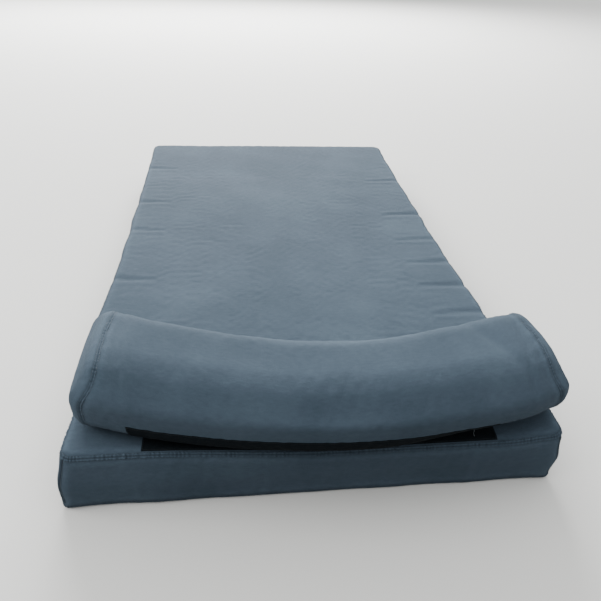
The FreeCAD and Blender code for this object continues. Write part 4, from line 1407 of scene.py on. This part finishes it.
def on_bolster(along, out, up):
    """A point of the bolster zip; along is the distance round the back of the bolster."""
    turn = bolster_yaw(along)
    radius = BACK_RADIUS - np.asarray(out)
    x, y = BOW_X + radius * np.sin(turn), BOW_Y - radius * np.cos(turn)
    return np.stack(np.broadcast_arrays(x, y, BOLSTER_LEVEL + up), -1)


def bolster_yaw(along):
    return ARC_MIDDLE + np.asarray(along) / BACK_RADIUS


def zip_tape(body, place, side, word, half):
    """One tape of a zip. side is +1 for the upper half."""
    along = edge_lines(-half, half, 4 * MM, 1 * MM, 3 * MM)
    up = np.concatenate([steps(TAPE_PART, 1.4 * MM, 0.4 * MM), steps(2 * MM, TAPE_EDGE, 1 * MM)]) * side
    u, v = np.meshgrid(along, up)
    ribs = 0.05 * MM * np.cos(v / (1.0 * MM) * 2 * math.pi)
    ribs = ribs - 0.12 * MM * smoothstep(8.6 * MM, TAPE_EDGE, np.abs(v))
    points, quads = closed_sheet(place(u, ribs - TAPE_FACE, v), place(u, -TAPE_FACE - TAPE_THICK, v))
    uv = np.concatenate([np.stack([u, v], -1).reshape(-1, 2)] * 2)
    name, nodes = f"{body.capitalize()}_zip_tape_{word}", (f"{body}_zip_tape_{word}",)
    add_piece(name, points, quads, ZIP_TAPE, body, "zip_tape", nodes=nodes, uv=uv)


def zip_coil(body, place, side, word, half):
    """One coil of a zip, and the two rows of thread that sew it to its tape."""
    turns = int(2 * half / COIL_PITCH)
    angle = np.arange(turns * COIL_STEPS + 1) / COIL_STEPS * 2 * math.pi
    run = (angle / (2 * math.pi) - turns / 2) * COIL_PITCH
    rise = ZIP_PART + COIL_HEIGHT / 2 + (COIL_HEIGHT / 2 - COIL_THREAD) * np.cos(angle)
    out = (COIL_HALF_DEPTH - COIL_THREAD) * np.sin(angle) + COIL_HALF_DEPTH - TAPE_FACE - 0.1 * MM
    points, quads = little_tubes(place(run, out, rise * side)[None], np.full(len(angle), COIL_THREAD), 5)
    name, nodes = f"{body.capitalize()}_zip_coil_{word}", (f"{body}_zip_coil_{word}",)
    add_piece(name, points, quads, COIL, body, "zip_coil", nodes=nodes)
    sewn = steps(-half, half, 2 * MM)
    sewing = Seamstress(COIL_STITCH)
    for level in (1.2 * MM, 2.2 * MM):
        facing = place(sewn, 0.0, level * side) - place(sewn, -1.0, level * side)
        sewing.sew(place(sewn, 1.78 * MM - TAPE_FACE, level * side), facing)
    sewing.finish(f"{body.capitalize()}_zip_coil_thread_{word}", COVER_THREAD, body, "zip_tape")


def outline(points, corner, arc):
    """A closed outline, in metres, through (x, z) corners in millimetres that are rounded by that radius."""
    made = []
    for k, here in enumerate(points):
        before, here, after = Vector(points[k - 1]), Vector(here), Vector(points[(k + 1) % len(points)])
        back, on = before - here, after - here
        radius = min(corner, back.length * 0.45, on.length * 0.45)
        start, end = here + back.normalized() * radius, here + on.normalized() * radius
        for t in np.linspace(0, 1, arc + 1):
            made.append((1 - t) ** 2 * start + 2 * t * (1 - t) * here + t * t * end)
    return np.array([tuple(p) for p in made]) * MM


def rectangle(x0, z0, x1, z1):
    return [(x0, z0), (x1, z0), (x1, z1), (x0, z1)]


def plate(points, low, high, bevel):
    """Rings of a bevelled plate over an outline, from its low face to its high face along Y."""
    middle = points.mean(0)
    reach = np.linalg.norm(points - middle, axis=1, keepdims=True)
    inset = middle + (points - middle) * (1 - bevel / reach)
    rings = [(inset, low), (points, low + bevel), (points, high - bevel), (inset, high)]
    return [np.stack([ring[:, 0], np.full(len(ring), y), ring[:, 1]], -1) for ring, y in rings]


def ring_mesh(rings, hole=None):
    """A closed mesh from rings stacked in order; with hole, the rings of a hole through it."""
    mesh = bmesh.new()
    loops = [[mesh.verts.new(tuple(p)) for p in ring] for ring in rings]
    count = len(loops[0])
    stack = list(zip(loops, loops[1:]))
    if hole is None:
        mesh.faces.new(loops[0][::-1])
        mesh.faces.new(loops[-1])
    else:
        inner = [[mesh.verts.new(tuple(p)) for p in ring] for ring in hole]
        stack += list(zip(inner[::-1], inner[::-1][1:])) + [(inner[0], loops[0]), (loops[-1], inner[-1])]
    for low, high in stack:
        for k in range(count):
            mesh.faces.new((low[k], low[(k + 1) % count], high[(k + 1) % count], high[k]))
    bmesh.ops.recalc_face_normals(mesh, faces=mesh.faces)
    return mesh


def smooth_by_angle(mesh, limit=math.radians(35)):
    """Shades smooth, with edges sharper than the limit kept crisp."""
    mesh.shade_smooth()
    sharp = bmesh.new()
    sharp.from_mesh(mesh)
    for edge in sharp.edges:
        if len(edge.link_faces) == 2 and edge.calc_face_angle(0) > limit:
            edge.smooth = False
    sharp.to_mesh(mesh)
    sharp.free()


def metal_piece(name, meshes, body, node, origin=(0, 0, 0), yaw=0.0):
    """A metal piece made in a local frame (X along the zip, Y out of it, Z across), put in its place."""
    total = bpy.data.meshes.new(name)
    whole = bmesh.new()
    for part in meshes:
        piece = bpy.data.meshes.new("part")
        part.to_mesh(piece)
        part.free()
        whole.from_mesh(piece)
        bpy.data.meshes.remove(piece)
    whole.to_mesh(total)
    whole.free()
    total.transform(Matrix.Translation(origin) @ Matrix.Rotation(yaw, 4, "Z"))
    total.materials.append(GUNMETAL)
    smooth_by_angle(total)
    piece = bpy.data.objects.new(name, total)
    bpy.context.scene.collection.objects.link(piece)
    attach(piece, body)
    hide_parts(node)


def bridge_mesh():
    """The arched bar on a slider that its pull hangs from."""
    angles = np.linspace(0, math.pi, 13)
    path = np.stack([-4.3 * np.cos(angles), 1.3 + 2.6 * np.sin(angles) ** 0.6, 0 * angles], -1) * MM
    bar = outline(rectangle(-1.2, -0.5, 1.2, 0.5), 0.35, 3)
    rings = []
    for spot, tangent in zip(path, np.gradient(path, axis=0)):
        tangent = tangent / np.linalg.norm(tangent)
        out = np.array([-tangent[1], tangent[0], 0])
        rings.append(spot + bar[:, :1] * np.array([0, 0, 1.0]) + bar[:, 1:] * out)
    return ring_mesh(rings)


def slider_meshes():
    """A coil-zip slider: two waisted plates, side walls, the post between its channels, and a bridge."""
    half = [(-7.0, 3.6), (-2.0, 3.9), (2.0, 4.9), (6.2, 4.9), (7.0, 3.9)]
    shape = outline([(x, -z) for x, z in half] + half[::-1], 1.2, 4)
    wall = [(-6.6, 3.0), (-2.0, 3.3), (2.0, 4.0), (6.0, 4.2)]
    wall += [(6.0, 4.8), (2.0, 4.8), (-2.0, 3.8), (-6.6, 3.5)]
    post = outline(rectangle(3.4, -0.33, 6.6, 0.33), 0.3, 3)
    plates = [(shape, -4.4, -3.1, 0.35), (shape, 0.3, 1.7, 0.45), (post, -3.3, 0.6, 0.05)]
    for side in (-1, 1):
        lip = outline([(x, z * side) for x, z in wall], 0.2, 2)
        plates += [(lip, 0.0, 0.8, 0.1), (lip, -3.4, -2.75, 0.1)]
    made = [ring_mesh(plate(edge, low * MM, high * MM, bevel * MM)) for edge, low, high, bevel in plates]
    return made + [bridge_mesh()]


def pull_mesh():
    """A pull tab with an eye for the bridge, a waist, and a wider grip."""
    thick = 0.6 * MM
    shape = [
        (1.6, -2.2), (1.6, 2.2), (-2.4, 3.0), (-8.0, 2.2), (-18.0, 3.2), (-23.6, 3.2),
        (-25.4, 1.6), (-25.4, -1.6), (-23.6, -3.2), (-18.0, -3.2), (-8.0, -2.2), (-2.4, -3.0),
    ]
    eye = [
        (0.6, -1.6), (0.6, 1.6), (-1.2, 1.6), (-4.4, 1.5), (-4.7, 0.8), (-4.8, 0.3),
        (-4.8, 0.0), (-4.8, -0.3), (-4.7, -0.8), (-4.4, -1.5), (-1.2, -1.6), (0.0, -1.6),
    ]
    rim = plate(outline(shape, 1.4, 3), -thick, thick, 0.2 * MM)
    return ring_mesh(rim, plate(outline(eye, 0.5, 3), -thick, thick, -0.12 * MM))


def stop_mesh(place, yaw, along):
    """A metal stop clamped over both coils."""
    bar = outline(rectangle(-1.5, -3.2, 1.5, 3.2), 0.6, 3)
    stop = ring_mesh(plate(bar, -0.8 * MM, 1.1 * MM, 0.3 * MM))
    centre = place(along, 0.6 * MM - TAPE_FACE, 0.0)
    stop.transform(Matrix.Translation(centre) @ Matrix.Rotation(yaw(along), 4, "Z"))
    return stop


def add_zip(body, place, yaw, tape_half, coil_half, slider_along):
    """A whole zip: two tapes, two coils, the stops, the slider and its pull."""
    for side, word in ((1, "upper"), (-1, "lower")):
        zip_tape(body, place, side, word, tape_half)
        zip_coil(body, place, side, word, coil_half)
    name, turned = body.capitalize(), yaw(slider_along)
    stops = [stop_mesh(place, yaw, end * (coil_half + 1.5 * MM)) for end in (-1, 1)]
    metal_piece(f"{name}_zip_stops", stops, body, f"{body}_zip_stops")
    origin, pull_origin = place(slider_along, 0.0, 0.0), place(slider_along, PULL_OUT, 0.0)
    metal_piece(f"{name}_zip_slider", slider_meshes(), f"{body}_slider", f"{body}_zip_slider", origin, turned)
    metal_piece(f"{name}_zip_pull", [pull_mesh()], f"{body}_pull", f"{body}_zip_pull", pull_origin, turned)


add_zip("mattress", on_mattress, mattress_yaw, 322 * MM, ZIP_HALF, 292 * MM)
add_zip(
    "bolster", on_bolster, bolster_yaw,
    ARC_TAPE * BACK_RADIUS, ARC_ZIP * BACK_RADIUS, ARC_SLIDER * BACK_RADIUS,
)


# ---- floor, light and camera ------------------------------------------------------------------------------

FLOOR_SPAN = 9.0
BRIGHTEST = Vector((0, 0.3, 0.95)).normalized()
CAMERA_PLACE = (-0.1101, -1.1118, 0.6934)
CAMERA_YAW, CAMERA_PITCH, CAMERA_ROLL = 0.1373, 0.5994, 0.0530
FOCAL_LENGTH, SENSOR_WIDTH = 33.303, 36


def add_floor():
    mesh = bpy.data.meshes.new("Floor")
    corners = [(x, y, 0) for x, y in rectangle(-FLOOR_SPAN, -FLOOR_SPAN, FLOOR_SPAN, FLOOR_SPAN)]
    mesh.from_pydata(corners, [], [(0, 1, 2, 3)])
    shader = Shader("floor", 0.9, Specular_IOR_Level=0.1)
    shader.colour((0.36, 0.355, 0.34, 1))
    mesh.materials.append(shader.material)
    floor = bpy.data.objects.new("Floor", mesh)
    bpy.context.scene.collection.objects.link(floor)


def studio_sky(low, high):
    """An overcast sky: dim low in front, and bright overhead and a little behind."""
    world = bpy.data.worlds.new("Studio")
    world.use_nodes = True
    tree = world.node_tree
    place = tree.nodes.new("ShaderNodeTexCoord")
    towards = tree.nodes.new("ShaderNodeVectorMath")
    towards.operation = "DOT_PRODUCT"
    towards.inputs[1].default_value = BRIGHTEST
    grade = tree.nodes.new("ShaderNodeMapRange")
    grade.interpolation_type = "SMOOTHSTEP"
    limits = {"From Min": 0.05, "From Max": 0.95, "To Min": low, "To Max": high}
    for socket, value in limits.items():
        grade.inputs[socket].default_value = value
    sky = tree.nodes["Background"]
    sky.inputs["Color"].default_value = (0.96, 0.98, 1.0, 1)
    tree.links.new(place.outputs["Generated"], towards.inputs[0])
    tree.links.new(towards.outputs["Value"], grade.inputs["Value"])
    tree.links.new(grade.outputs[0], sky.inputs["Strength"])
    bpy.context.scene.world = world


def area_light(name, place, aim, size, power, colour=(1, 1, 1)):
    lamp = bpy.data.lights.new(name, "AREA")
    lamp.shape = "RECTANGLE"
    lamp.size, lamp.size_y = size
    lamp.energy = power
    lamp.color = colour
    light = bpy.data.objects.new(name, lamp)
    light.location = place
    light.rotation_euler = (Vector(aim) - Vector(place)).to_track_quat("-Z", "Y").to_euler()
    bpy.context.scene.collection.objects.link(light)


def add_camera():
    """The camera, turned by its yaw from +Y, its pitch down and its roll."""
    yaw, pitch, roll = CAMERA_YAW, CAMERA_PITCH, CAMERA_ROLL
    flat = math.cos(pitch)
    forward = Vector((math.sin(yaw) * flat, math.cos(yaw) * flat, -math.sin(pitch)))
    level = Vector((math.cos(yaw), -math.sin(yaw), 0))
    upright = level.cross(forward)
    rightward = level * math.cos(roll) + upright * math.sin(roll)
    upward = upright * math.cos(roll) - level * math.sin(roll)
    lens = bpy.data.cameras.new("Camera")
    lens.lens = FOCAL_LENGTH
    lens.sensor_width = SENSOR_WIDTH
    lens.clip_start = 0.01
    camera = bpy.data.objects.new("Camera", lens)
    bpy.context.scene.collection.objects.link(camera)
    turn = Matrix((rightward, upward, -forward)).transposed().to_4x4()
    camera.matrix_world = Matrix.Translation(CAMERA_PLACE) @ turn
    bpy.context.scene.camera = camera


add_floor()
studio_sky(1.0, 3.3)
area_light("Behind", (-0.4, 4.6, 2.2), (0, 0, 0), (4.2, 1.6), 1380, (0.97, 0.985, 1.0))
area_light("Left", (-2.4, -0.55, 2.0), (-0.1, -0.45, 0.1), (1.8, 1.4), 85)
add_camera()
